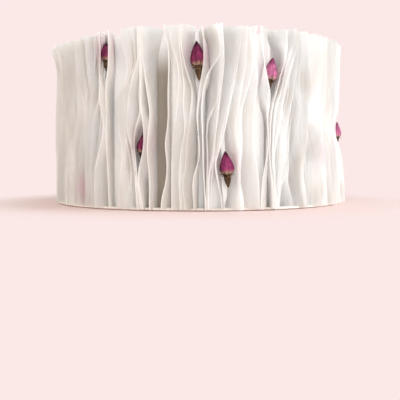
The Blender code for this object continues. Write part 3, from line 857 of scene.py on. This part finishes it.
# %% Petals
def petal_group():
    """Colours along a dried petal, from its pale foot to its dark tip and edges, and its creases."""
    group = bpy.data.node_groups.new("petal_colours", "ShaderNodeTree")
    face = group.interface
    for name in ("Foot", "Middle", "Tip"):
        face.new_socket(name, in_out="INPUT", socket_type="NodeSocketColor")
    face.new_socket("Colour", in_out="OUTPUT", socket_type="NodeSocketColor")
    face.new_socket("Creases", in_out="OUTPUT", socket_type="NodeSocketFloat")
    link = group.links.new
    given = group.nodes.new("NodeGroupInput").outputs
    result = group.nodes.new("NodeGroupOutput")
    place = add(group, "ShaderNodeTexCoord")
    parts = add(group, "ShaderNodeSeparateXYZ")
    link(place.outputs["UV"], parts.inputs["Vector"])
    lengthwise = stretched(group, place.outputs["UV"], (11.0, 1.6, 1.0))
    creases = noise(group, lengthwise, Scale=1.6, Detail=3.0, Roughness=0.6)

    foot = smooth_mask(group, parts.outputs["Y"], 0.02, 0.24)
    lower = blend_colours(group, foot, given["Foot"], given["Middle"])
    sideways = calculate(group, "SUBTRACT", parts.outputs["X"], 0.5)
    away = group.nodes.new("ShaderNodeMath")
    away.operation = "ABSOLUTE"
    link(sideways, away.inputs[0])
    rim = smooth_mask(group, away.outputs[0], 0.36, 0.52, most=0.75)
    top = smooth_mask(group, parts.outputs["Y"], 0.66, 0.98)
    streak = smooth_mask(group, creases, 0.46, 0.72, most=0.8)
    darkest = calculate(group, "MAXIMUM", calculate(group, "MAXIMUM", rim, top), streak)
    upper = blend_colours(group, darkest, lower, given["Tip"])

    blotches = noise(group, place.outputs["Object"], Scale=260.0, Detail=2.0)
    patch = add(group, "ShaderNodeMapRange")
    for name, value in (("From Min", 0.30), ("From Max", 0.70), ("To Min", 0.70), ("To Max", 1.30)):
        patch.inputs[name].default_value = value
    link(blotches, patch.inputs["Value"])
    shade = add(group, "ShaderNodeVectorMath", operation="SCALE")
    link(upper, shade.inputs[0])
    link(patch.outputs["Result"], shade.inputs["Scale"])
    link(shade.outputs["Vector"], result.inputs["Colour"])
    link(creases, result.inputs["Creases"])
    return group


petal_colours = petal_group()
print(petal_colours.name, "of", len(petal_colours.nodes), "nodes")


# %% Three tones of petals
def petal_material(name, foot, middle, tip):
    made, tree, shader, output = new_material(name)
    link = tree.links.new
    colours = add(tree, "ShaderNodeGroup", node_tree=petal_colours)
    colours.inputs["Foot"].default_value = (*foot, 1.0)
    colours.inputs["Middle"].default_value = (*middle, 1.0)
    colours.inputs["Tip"].default_value = (*tip, 1.0)
    link(colours.outputs["Colour"], shader.inputs["Base Color"])
    link(relief(tree, colours.outputs["Creases"], 0.7, 0.0004), shader.inputs["Normal"])
    shader.inputs["Roughness"].default_value = 0.65
    shader.inputs["Specular IOR Level"].default_value = 0.15
    return made


PETALS = {
    "dark": petal_material("petals_dark", (0.40, 0.27, 0.18), (0.20, 0.024, 0.080), (0.028, 0.004, 0.013)),
    "mid": petal_material("petals_mid", (0.50, 0.36, 0.25), (0.33, 0.048, 0.150), (0.055, 0.008, 0.026)),
    "pale": petal_material("petals_pale", (0.52, 0.32, 0.28), (0.50, 0.150, 0.280), (0.20, 0.030, 0.100)),
}
print("petals:", ", ".join(PETALS))

# %% [markdown]
# ## Hips and sepals
#
# The green parts dry to a dull, wrinkled brown, with paler ridges. Two noises, one drawn out along the
# hip and one in spots, are multiplied, so that both have to be high where it is pale.

# %% Hips and sepals
SHRIVELLED = (0.020, 0.010, 0.006, 1.0)
RIDGED = (0.20, 0.115, 0.055, 1.0)


def hip_material():
    """Shrivelled green that dried to brown, paler on its ridges."""
    made, tree, shader, output = new_material("dried_hip")
    link = tree.links.new
    place = add(tree, "ShaderNodeTexCoord")
    lengthwise = stretched(tree, place.outputs["UV"], (9.0, 1.5, 1.0))
    ridges = noise(tree, lengthwise, Scale=2.2, Detail=4.0, Roughness=0.65)
    blotches = noise(tree, place.outputs["Object"], Scale=420.0, Detail=2.0)
    ramp = add(tree, "ShaderNodeValToRGB")
    dark, pale = ramp.color_ramp.elements
    dark.position, dark.color = 0.14, SHRIVELLED
    pale.position, pale.color = 0.46, RIDGED
    link(calculate(tree, "MULTIPLY", ridges, blotches), ramp.inputs["Fac"])
    link(ramp.outputs["Color"], shader.inputs["Base Color"])
    link(relief(tree, ridges, 0.9, 0.0005), shader.inputs["Normal"])
    shader.inputs["Roughness"].default_value = 0.65
    shader.inputs["Specular IOR Level"].default_value = 0.2
    return made


dried_hip = hip_material()
print(dried_hip.name, "of", len(dried_hip.node_tree.nodes), "nodes")

# %% [markdown]
# ## The sheets
#
# Each sheet is a flat rectangle of paper on its short edge, stuck to the icing along one long edge. It
# could be draped by a cloth simulation, but dry wafer paper keeps the bend it was given, so one flat
# grid is copied, and each copy is bent through its three settled lines: root, middle and free edge.
# Solidify then gives the paper its thickness on both sides of the bend.

# %% Shape of a sheet
COLUMNS = 8
ROWS = 72
SHEET_THICKNESS = 0.0006
QUARTERS = 4
FLARE_WIDTH = 6


def drop_selection():
    bpy.ops.object.select_all(action="DESELECT")


def edge_radius(outline, start, up):
    """How far from the cake's axis a sheet's free edge is, at shares of its height."""
    bow = outline["bow"] * np.sin(math.tau * up + outline["bow_phase"])
    flare = 0.0
    for azimuth, shares, offsets in FLARES:
        towards = math.cos(start / EDGE_RADIUS - math.radians(azimuth))
        flare += max(0.0, towards) ** FLARE_WIDTH * np.interp(up, shares, offsets)
    azimuth, height, half_width, half_height, depth = HOLLOW
    sideways = (math.degrees(start / EDGE_RADIUS) - azimuth) / half_width
    upwards = (up * SHEET_TOP - height) / half_height
    hollow = depth * np.exp(-(sideways**4)) * np.exp(-(upwards**2))
    return EDGE_RADIUS + outline["edge"] + bow + flare - hollow


def sheet_points(index, across, up):
    """The places of a sheet's points, from their shares of its width and height."""
    outline = outlines[index]
    rise = outline["top_inner"] + across * (outline["top_outer"] - outline["top_inner"])
    rise -= np.interp(math.degrees(starts[index] / EDGE_RADIUS), *zip(*LOWER_TOPS))
    foot = SHEET_FOOT + outline["foot"]
    height = foot + up * (SHEET_TOP + rise - foot)
    inner = ROOT_RADIUS - ROOT_DEPTH
    radius = inner + across * (edge_radius(outline, starts[index], up) - inner)
    at_root = np.interp(height, HEIGHTS, root_arcs[index])
    at_half = np.interp(height, HEIGHTS, half_arcs[index])
    at_edge = np.interp(height, HEIGHTS, edge_arcs[index])
    share = MIDDLE_SHARE
    arc = at_root * (across - share) * (across - 1) / share
    arc += at_half * across * (across - 1) / (share * (share - 1))
    arc += at_edge * across * (across - share) / (1 - share)
    angle = arc / EDGE_RADIUS
    return np.stack([radius * np.sin(angle), -radius * np.cos(angle), height], axis=1)


drop_selection()
bpy.ops.mesh.primitive_grid_add(x_subdivisions=COLUMNS, y_subdivisions=ROWS, size=1.0)
flat = bpy.context.active_object
flat.name = "flat_sheet"
spots = np.zeros(len(flat.data.vertices) * 3)
flat.data.vertices.foreach_get("co", spots)
spots = spots.reshape(-1, 3)
across, up = spots[:, 0] + 0.5, spots[:, 1] + 0.5
print("one sheet:", len(flat.data.polygons), "faces")

# %% All the sheets, every fourth one in the same piece
quarters = []
for quarter in range(QUARTERS):
    made = []
    for index in range(quarter, len(starts), QUARTERS):
        sheet = flat.copy()
        sheet.data = flat.data.copy()
        bpy.context.scene.collection.objects.link(sheet)
        sheet.data.vertices.foreach_set("co", sheet_points(index, across, up).ravel())
        made.append(sheet)
    drop_selection()
    for sheet in made:
        sheet.select_set(True)
    bpy.context.view_layer.objects.active = made[0]
    bpy.ops.object.join()
    ruffle = bpy.context.active_object
    ruffle.name = f"wafer_sheets_{quarter + 1}"
    shell = ruffle.modifiers.new("Thickness", "SOLIDIFY")
    shell.thickness = SHEET_THICKNESS
    shell.offset = 0.0
    bpy.ops.object.modifier_apply(modifier="Thickness")
    ruffle.data.materials.clear()
    ruffle.data.materials.append(wafer)
    ruffle.data.shade_smooth()
    ruffle.data.set_sharp_from_angle(angle=math.radians(50))
    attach(ruffle, "root")
    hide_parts("ruffles")
    quarters.append(ruffle)
bpy.data.objects.remove(flat)
print("sheets' triangles in a quarter:", 2 * len(quarters[0].data.polygons))

# %% [markdown]
# ### Pink beside the buds
#
# The paper is tinted pink beside each bud. On the sheet in front of each deep bud, the pink is painted
# glow that stands in for the bud's colour seen through the paper. The pink is a number stored on each
# point of the sheets, strongest beside a bud, which the paper's material reads. Painting it by hand
# would have to be done again whenever a bud is moved.

# %% Petals' pink on the paper beside them: a tint, and painted glow before the deep buds
# The sheet in front of a deep bud: the bud's number, and the azimuth and height of its painted glow
PAINTED_GLOW_SPOTS = {7: (54.0, 0.0410), 8: (-47.5, 0.0150)}
PAINTED_GLOW_RADIUS = 0.1165
TINTS_AND_GLOWS = {
    "beside": {"most": 0.36, "reach": 0.0068, "flatter": 0.8},
    "before": {"most": 0.30, "reach": 0.0062, "flatter": 0.6},
}


def bud_middles():
    """Where the pink is strongest: at a bud for the tint, or, for a deep bud, on the sheet before it as
    painted glow.
    """
    spots = []
    for number, (azimuth, height, radius, lean, size) in enumerate(ROSEBUDS, start=1):
        if number in PAINTED_GLOW_SPOTS:
            azimuth, height = PAINTED_GLOW_SPOTS[number]
            radius = PAINTED_GLOW_RADIUS
        angle = math.radians(azimuth)
        spots.append((radius * math.sin(angle), -radius * math.cos(angle), height))
    return np.array(spots)


def tint_and_glow_beside_buds(ruffle):
    mesh = ruffle.data
    points = np.zeros(3 * len(mesh.vertices))
    mesh.vertices.foreach_get("co", points)
    points = points.reshape(-1, 3)
    strength = np.zeros(len(points))
    for spot, (azimuth, height, radius, lean, size) in zip(bud_middles(), ROSEBUDS):
        tint_and_glow = TINTS_AND_GLOWS["before" if radius < OUT else "beside"]
        away = points - spot
        away[:, 2] *= tint_and_glow["flatter"]
        near = tint_and_glow["most"] * np.exp(-((np.linalg.norm(away, axis=1) / tint_and_glow["reach"]) ** 2))
        strength = np.maximum(strength, near)
    layer = mesh.attributes.new("rose_tint_and_painted_glow", "FLOAT", "POINT")
    layer.data.foreach_set("value", strength)
    return strength


# The strength holds the pink tint beside the buds and the painted glow before the deep buds
for ruffle in quarters:
    strength = tint_and_glow_beside_buds(ruffle)
print("stained points:", int((strength > 0.05).sum()), "of", len(strength))

# %% [markdown]
# ## The iced cake
#
# The cake is a cylinder of buttercream, and round its side runs a thicker band that the sheets are
# pressed into. Both are the same shape in two sizes, so one function adds a cylinder and bevels its
# upper rim, because a palette knife never leaves a sharp one.

# %% Cake and band
CAKE_RIM = 0.0035
BAND_RIM = 0.0006


def add_cylinder(name, radius, low, high, rim, finish):
    """A cylinder of icing from one height to another, with its upper rim rounded."""
    drop_selection()
    middle = (0.0, 0.0, (low + high) / 2)
    bpy.ops.mesh.primitive_cylinder_add(vertices=192, radius=radius, depth=high - low, location=middle)
    thing = bpy.context.active_object
    bpy.ops.object.transform_apply(location=True, rotation=True, scale=True)
    thing.name = name
    bpy.ops.object.mode_set(mode="EDIT")
    bpy.ops.mesh.select_mode(type="EDGE")
    bpy.ops.mesh.select_all(action="DESELECT")
    bpy.ops.object.mode_set(mode="OBJECT")
    points = thing.data.vertices
    for line in thing.data.edges:
        line.select = all(points[i].co.z > high - 1e-6 for i in line.vertices)
    bpy.ops.object.mode_set(mode="EDIT")
    bpy.ops.mesh.bevel(offset=rim, segments=5, profile=0.5)
    bpy.ops.object.mode_set(mode="OBJECT")
    thing.data.materials.append(finish)
    thing.data.shade_smooth()
    thing.data.set_sharp_from_angle(angle=math.radians(40))
    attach(thing, "root")
    return thing


cake = add_cylinder("iced_cake", CAKE_RADIUS, 0.0, CAKE_HEIGHT, CAKE_RIM, icing)
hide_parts("cake")
band = add_cylinder("icing_band", ROOT_RADIUS, 0.0, BAND_TOP, BAND_RIM, band_icing)
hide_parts("ruffles")
print("cake and band:", len(cake.data.polygons), len(band.data.polygons), "faces")

# %% [markdown]
# ### The bead at the foot
#
# A thin line of icing is piped round the foot to close the gap below the sheets, and smoothed with a
# finger, so it swells and thins. A torus is its round start, and three waves of different lengths
# make it uneven without a pattern that the eye can catch.

# %% Piped bead at the foot
BEAD_RADIUS = 0.1122
BEAD_WIDTH = 0.0026
BEAD_HEIGHT = 0.0021
BEAD_WAVES = ((0.45, 23, 0.0), (0.35, 41, 1.0), (0.25, 87, 2.0))

drop_selection()
bpy.ops.mesh.primitive_torus_add(
    major_radius=BEAD_RADIUS, minor_radius=BEAD_WIDTH, major_segments=320, minor_segments=16,
    location=(0.0, 0.0, 0.0),
)
bead = bpy.context.active_object
bead.name = "icing_bead"
for point in bead.data.vertices:
    turn = math.atan2(point.co.x, -point.co.y)
    ripple = sum(most * math.sin(lobes * turn + phase) for most, lobes, phase in BEAD_WAVES)
    flat = math.hypot(point.co.x, point.co.y)
    wider = 1 + (flat - BEAD_RADIUS) * (0.12 + 0.10 * ripple) / BEAD_RADIUS
    point.co.x *= wider
    point.co.y *= wider
    lift = point.co.z / BEAD_WIDTH
    point.co.z = BEAD_HEIGHT * (0.5 + 0.5 * lift * (1.0 + 0.16 * ripple if lift > 0 else 1.0))
bead.data.materials.append(icing)
bead.data.shade_smooth()
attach(bead, "root")
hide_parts("ruffles")
print("bead:", len(bead.data.polygons), "faces")

# %% [markdown]
# ## Dried rosebuds
#
# A rosebud that dried closed is a pointed oval of wrapped petals. Its sepals have shrivelled to brown
# spikes round the top of the hip, and the hip is a wrinkled spindle that ends in a bit of stem. Two
# outlines, of the bud and of the hip, say how wide they are at each height, and every piece below is
# wrapped round them. A spin would give the outline too, but no single petals.

# %% Outline of a bud
def bud_outline(share):
    """How wide a bud is at a share of its height, from its foot at 0 to its tip at 1."""
    share = np.clip(share, 0.0, 1.0)
    return 0.80 * BUD_RADIUS * np.sin(math.pi * (0.04 + 0.96 * share) ** 0.55) ** 0.95


def hip_outline(share):
    """How wide a hip is at a share of its length, from where the petals start to the stem's end."""
    share = np.clip(share, 0.0, 1.0)
    return 0.0003 + 0.0019 * np.sin(math.pi * (0.16 + 0.84 * share) ** 0.72)


print("bud", round(2000 * bud_outline(0.3), 1), "mm wide")
print("hip", round(2000 * hip_outline(0.2), 1), "mm wide")

# %% [markdown]
# ### From a grid or a ball to a shaped piece
#
# A petal or sepal starts as a flat grid and a hip or core as a ball. Each point knows its share of the
# width and height, and is then set at a radius, a turn and a height. Thin pieces get their thickness
# from Solidify, because a petal with no thickness lets light through it wrongly.

# %% Shaped pieces
def add_grid(columns, rows):
    """A flat grid, and its points as shares: across from -1 to 1, and up from 0 to 1."""
    drop_selection()
    bpy.ops.mesh.primitive_grid_add(x_subdivisions=columns, y_subdivisions=rows, size=1.0)
    piece = bpy.context.active_object
    points = np.zeros(3 * len(piece.data.vertices))
    piece.data.vertices.foreach_get("co", points)
    points = points.reshape(-1, 3)
    return piece, 2 * points[:, 0], points[:, 1] + 0.5


def add_ball(segments, rings):
    """A ball, with the turn and the share of the height of each point, 0 at the foot."""
    drop_selection()
    bpy.ops.mesh.primitive_uv_sphere_add(segments=segments, ring_count=rings, radius=1.0)
    piece = bpy.context.active_object
    points = np.zeros(3 * len(piece.data.vertices))
    piece.data.vertices.foreach_get("co", points)
    points = points.reshape(-1, 3)
    share = 1 - np.arccos(np.clip(points[:, 2], -1, 1)) / math.pi
    return piece, np.arctan2(points[:, 1], points[:, 0]), share


def wrap(piece, radius, turn, height, thickness=0.0):
    """Puts a piece's points at their radius, turn and height, and gives it a thickness."""
    points = np.stack([radius * np.cos(turn), radius * np.sin(turn), height], axis=1)
    piece.data.vertices.foreach_set("co", points.ravel())
    if thickness:
        shell = piece.modifiers.new("Thickness", "SOLIDIFY")
        shell.thickness = thickness
        shell.offset = 0.0
        bpy.ops.object.modifier_apply(modifier="Thickness")
    piece.data.shade_smooth()
    return piece


print("shaping a petal, sepal, core and hip")

# %% [markdown]
# ### Petals, sepals, core and hip
#
# A petal lies with one edge over the next petal and the other under it, curls out a little at both
# edges, and is wavy from drying. Sepals are narrow and pointed: long ones lie along the bud, and short
# shrivelled ones stand out round the top of the hip. The core only fills the bud behind its petals.

# %% One petal, sepal, core and hip
PETAL_THICKNESS = 0.00020
SEPAL_THICKNESS = 0.00036
SEPAL_FOOT = 0.0017


def add_petal(turn, half_turn, reach, offset, curl, twist, draw):
    piece, across, up = add_grid(10, 12)
    height = BUD_LENGTH * (0.01 + reach * up)
    width = half_turn * (0.03 + 0.97 * (1 - up**2.4) ** 0.75)
    radius = bud_outline(height / BUD_LENGTH) + offset * (1 - 0.6 * up**2)
    radius += 0.00022 * across * (1 - 0.5 * up)
    radius += curl * np.abs(across) ** 3 * (0.8 - 0.4 * up)
    phase, pitch = draw.uniform(0, math.tau), draw.uniform(5, 8)
    radius += 0.00010 * np.sin(pitch * across + 3 * up + phase) * np.sin(math.pi * up) ** 0.5
    radius += draw.uniform(0.0, 0.0005) * up**7
    return wrap(piece, radius, turn + across * width + twist * up, height, PETAL_THICKNESS)


def add_sepal(turn, length, width, rise, out, droop, draw):
    piece, across, up = add_grid(2, 7)
    height = -0.0005 + length * (rise * up - droop * up**2)
    spread = SEPAL_FOOT + length * out * up
    radius = np.maximum(bud_outline(height / BUD_LENGTH) + 0.00035, spread)
    radius = np.where(height < 0, spread, radius)
    half = width * (1 - up) ** 0.8 * (0.75 + 1.1 * up * (1 - up)) + 0.00006
    sway = draw.uniform(-0.25, 0.25) * up
    radius += 0.00025 * (1 - np.abs(across))
    return wrap(piece, radius, turn + across * half / radius + sway, height, SEPAL_THICKNESS)


def add_core():
    piece, turn, share = add_ball(24, 18)
    return wrap(piece, 0.93 * bud_outline(share), turn + 1.2 * share, BUD_LENGTH * share)


def add_hip(draw):
    piece, turn, share = add_ball(30, 18)
    down = 1 - share
    phases = draw.uniform(0, math.tau, 3)
    ridge = 1 + 0.13 * np.cos(5 * turn + phases[0] + 2 * down) + 0.07 * np.cos(9 * turn + phases[1])
    radius = hip_outline(down) * ridge * np.where((share < 1e-4) | (share > 1 - 1e-4), 0.0, 1.0)
    length = HIP_LENGTH * draw.uniform(1.02, 1.12)
    return wrap(piece, radius, turn, 0.0004 - length * down)


print("petals", 1000 * PETAL_THICKNESS, "mm thick, sepals", 1000 * SEPAL_THICKNESS, "mm")

# %% [markdown]
# ### A whole bud
#
# Three inner petals cover the core, and five outer ones overlap round them. No two dried buds are
# alike, so every turn, length and width is drawn anew, from a seed of the bud's own that gives the
# same bud each time.

# %% A whole bud
INNER_PETALS = 3
OUTER_PETALS = 5
LONG_SEPALS = 5
SHORT_SEPALS = 8
INNER_HALF_TURN = math.radians(78)


def join(pieces, name):
    drop_selection()
    for piece in pieces:
        piece.select_set(True)
    bpy.context.view_layer.objects.active = pieces[0]
    bpy.ops.object.join()
    whole = bpy.context.active_object
    whole.name = name
    whole.data.name = name
    return whole


def make_bud(name, tone, seed):
    draw = np.random.default_rng(seed)
    petals = [add_core()]
    for number in range(INNER_PETALS):
        turn = math.radians(120 * number + 40 + draw.uniform(-12, 12))
        reach = draw.uniform(0.97, 1.01)
        petals.append(add_petal(turn, INNER_HALF_TURN, reach, 0.00018, 0.00015, 0.35, draw))
    for number in range(OUTER_PETALS):
        turn = math.radians(72 * number - 80 + draw.uniform(-14, 14))
        reach = draw.uniform(0.84, 0.98)
        half_turn = math.radians(draw.uniform(54, 66))
        petals.append(add_petal(turn, half_turn, reach, draw.uniform(0.0005, 0.00075), 0.0004, 0.25, draw))
    for petal in petals:
        petal.data.materials.append(PETALS[tone])
    greens = [add_hip(draw)]
    for number in range(LONG_SEPALS):
        turn = math.radians(72 * number + draw.uniform(-20, 20))
        greens.append(add_sepal(turn, draw.uniform(0.0030, 0.0060), 0.00085, 1.0, 0.10, 0.0, draw))
    for number in range(SHORT_SEPALS):
        turn = math.radians(45 * number + draw.uniform(-14, 14))
        rise, out = draw.uniform(-0.3, 0.6), draw.uniform(0.5, 0.9)
        greens.append(add_sepal(turn, draw.uniform(0.0026, 0.0040), 0.0015, rise, out, 0.20, draw))
    for green in greens:
        green.data.materials.append(dried_hip)
    return join(petals + greens, name)


print("a bud has", INNER_PETALS + OUTER_PETALS, "petals and", LONG_SEPALS + SHORT_SEPALS, "sepals")

# %% [markdown]
# ### The buds in their openings
#
# Each bud is made upright at the origin, then its mesh is scaled, lowered to its middle, leaned, turned
# outwards and moved to its place. Moving the mesh and not the object keeps the object at the origin,
# so its patterns stay where they are on the petals.

# %% The buds in their openings
TONES = {
    1: "dark", 2: "dark", 3: "pale", 4: "dark", 5: "mid", 6: "pale", 7: "mid", 8: "mid", 9: "mid",
    10: "dark", 11: "pale", 12: "mid", 13: "dark", 14: "mid", 15: "pale",
}

bud_faces = 0
for number, (azimuth, height, radius, lean, size) in enumerate(ROSEBUDS, start=1):
    bud = make_bud(f"dried_rosebud_{number:02d}", TONES[number], 100 + number)
    angle = math.radians(azimuth)
    spot = Vector((radius * math.sin(angle), -radius * math.cos(angle), height))
    outward = Matrix.Rotation(angle, 4, "Z")
    tilt = Matrix.Rotation(math.radians(lean), 4, "Y")
    lower = Matrix.Translation((0.0, 0.0, -BUD_LENGTH / 2 * size))
    bud.data.transform(Matrix.Translation(spot) @ outward @ tilt @ lower @ Matrix.Scale(size, 4))
    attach(bud, "root")
    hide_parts(f"rosebud_{number:02d}")
    bud_faces += len(bud.data.polygons)
print("rosebuds:", len(ROSEBUDS), "with", bud_faces, "faces")

# %% [markdown]
# ## Floor
#
# A plain pale floor lies under the cake. It takes soft shadows close to the cake, and farther out it
# fades into the even colour of the backdrop, so that no edge of the floor is seen.

# %% Floor
BACKDROP = (0.965, 0.813, 0.799, 1.0)
FLOOR_PAINT = (0.90, 0.71, 0.69, 1.0)
FADE_FROM = 0.125
FADE_TO = 0.21

drop_selection()
bpy.ops.mesh.primitive_circle_add(vertices=128, radius=20.0, fill_type="NGON", location=(0, 0, -0.0002))
floor = bpy.context.active_object
floor.name = "floor"
paint, tree, shader, output = new_material("floor_paint")
link = tree.links.new
length = add(tree, "ShaderNodeVectorMath", operation="LENGTH")
link(add(tree, "ShaderNodeTexCoord").outputs["Object"], length.inputs[0])
shader.inputs["Base Color"].default_value = FLOOR_PAINT
shader.inputs["Roughness"].default_value = 0.9
glow = add(tree, "ShaderNodeEmission", Color=BACKDROP, Strength=1.0)
mix = add(tree, "ShaderNodeMixShader")
link(smooth_mask(tree, length.outputs["Value"], FADE_FROM, FADE_TO), mix.inputs[0])
link(shader.outputs["BSDF"], mix.inputs[1])
link(glow.outputs["Emission"], mix.inputs[2])
link(mix.outputs["Shader"], output.inputs["Surface"])
floor.data.materials.append(paint)
print("the floor fades out", round(1000 * FADE_TO), "mm from the middle")

# %% [markdown]
# ## Light
#
# The brightest light comes from the right, so the cake's right side glows, and its left side is shaded
# and warmer. Large discs give soft light, and small ones would draw hard shadows between the sheets.
# An even sky fills in the rest.

# %% Sky
SKY = (0.985, 0.972, 0.930, 1.0)
SKY_STRENGTH = 0.71

world = bpy.data.worlds.new("studio")
bpy.context.scene.world = world
world.use_nodes = True
tree = world.node_tree
link = tree.links.new
sky = tree.nodes["Background"]
sky.inputs["Color"].default_value = SKY
sky.inputs["Strength"].default_value = SKY_STRENGTH
seen = add(tree, "ShaderNodeBackground", Color=BACKDROP, Strength=1.0)
path = add(tree, "ShaderNodeLightPath")
mix = add(tree, "ShaderNodeMixShader")
link(path.outputs["Is Camera Ray"], mix.inputs[0])
link(sky.outputs["Background"], mix.inputs[1])
link(seen.outputs["Background"], mix.inputs[2])
link(mix.outputs["Shader"], tree.nodes["World Output"].inputs["Surface"])
print("sky strength", SKY_STRENGTH)

# %% Soft lights
# Each light: name, azimuth, elevation, distance, size, power, colour
LIGHTS = (
    ("key", 78, 18, 1.5, 1.3, 15.0, (0.90, 0.97, 1.0)),
    ("front", 8, 2, 1.6, 1.0, 14.5, (0.99, 1.0, 0.99)),
    ("side", -65, 8, 1.5, 1.4, 4.6, (1.0, 0.82, 0.58)),
    ("top", 10, 75, 1.3, 1.2, 1.5, (1.0, 1.0, 1.0)),
)
AIM = Vector((0.0, 0.0, 0.06))


def soft_light(name, azimuth, elevation, distance, size, power, colour):
    """A disc of light that looks at the middle of the cake."""
    turn, rise = math.radians(azimuth), math.radians(elevation)
    away = Vector((math.sin(turn) * math.cos(rise), -math.cos(turn) * math.cos(rise), math.sin(rise)))
    spot = away * distance + AIM
    lamp = bpy.data.lights.new(name, "AREA")
    lamp.shape = "DISK"
    lamp.size = size
    lamp.energy = power
    lamp.color = colour
    holder = bpy.data.objects.new(name, lamp)
    bpy.context.scene.collection.objects.link(holder)
    holder.location = spot
    holder.rotation_euler = (AIM - spot).to_track_quat("-Z", "Y").to_euler()


for light in LIGHTS:
    soft_light(*light)
print("lights:", ", ".join(light[0] for light in LIGHTS))

# %% [markdown]
# ## Camera
#
# The camera stands low, level with the lower third of the cake, so the top isn't seen and the sheets
# stand tall. It is turned down a little, so that the cake sits above the middle of the picture.

# %% Camera
FRAME_WIDTH = 400
SENSOR_WIDTH = 36.0
FOCAL_STEPS = 750
CAMERA_ACROSS = 0.0012
CAMERA_DISTANCE = 0.626
CAMERA_HEIGHT = 0.037
HORIZON_RAISE = 43

camera_data = bpy.data.cameras.new("camera")
camera_data.sensor_width = SENSOR_WIDTH
camera_data.lens = SENSOR_WIDTH * FOCAL_STEPS / FRAME_WIDTH
camera = bpy.data.objects.new("camera", camera_data)
bpy.context.scene.collection.objects.link(camera)
camera.location = (CAMERA_ACROSS, -CAMERA_DISTANCE, CAMERA_HEIGHT)
camera.rotation_euler = (math.pi / 2 - math.atan(HORIZON_RAISE / FOCAL_STEPS), 0, 0)
bpy.context.scene.camera = camera
bpy.context.scene.view_settings.view_transform = "Standard"
print("lens", round(camera_data.lens, 1), "mm")
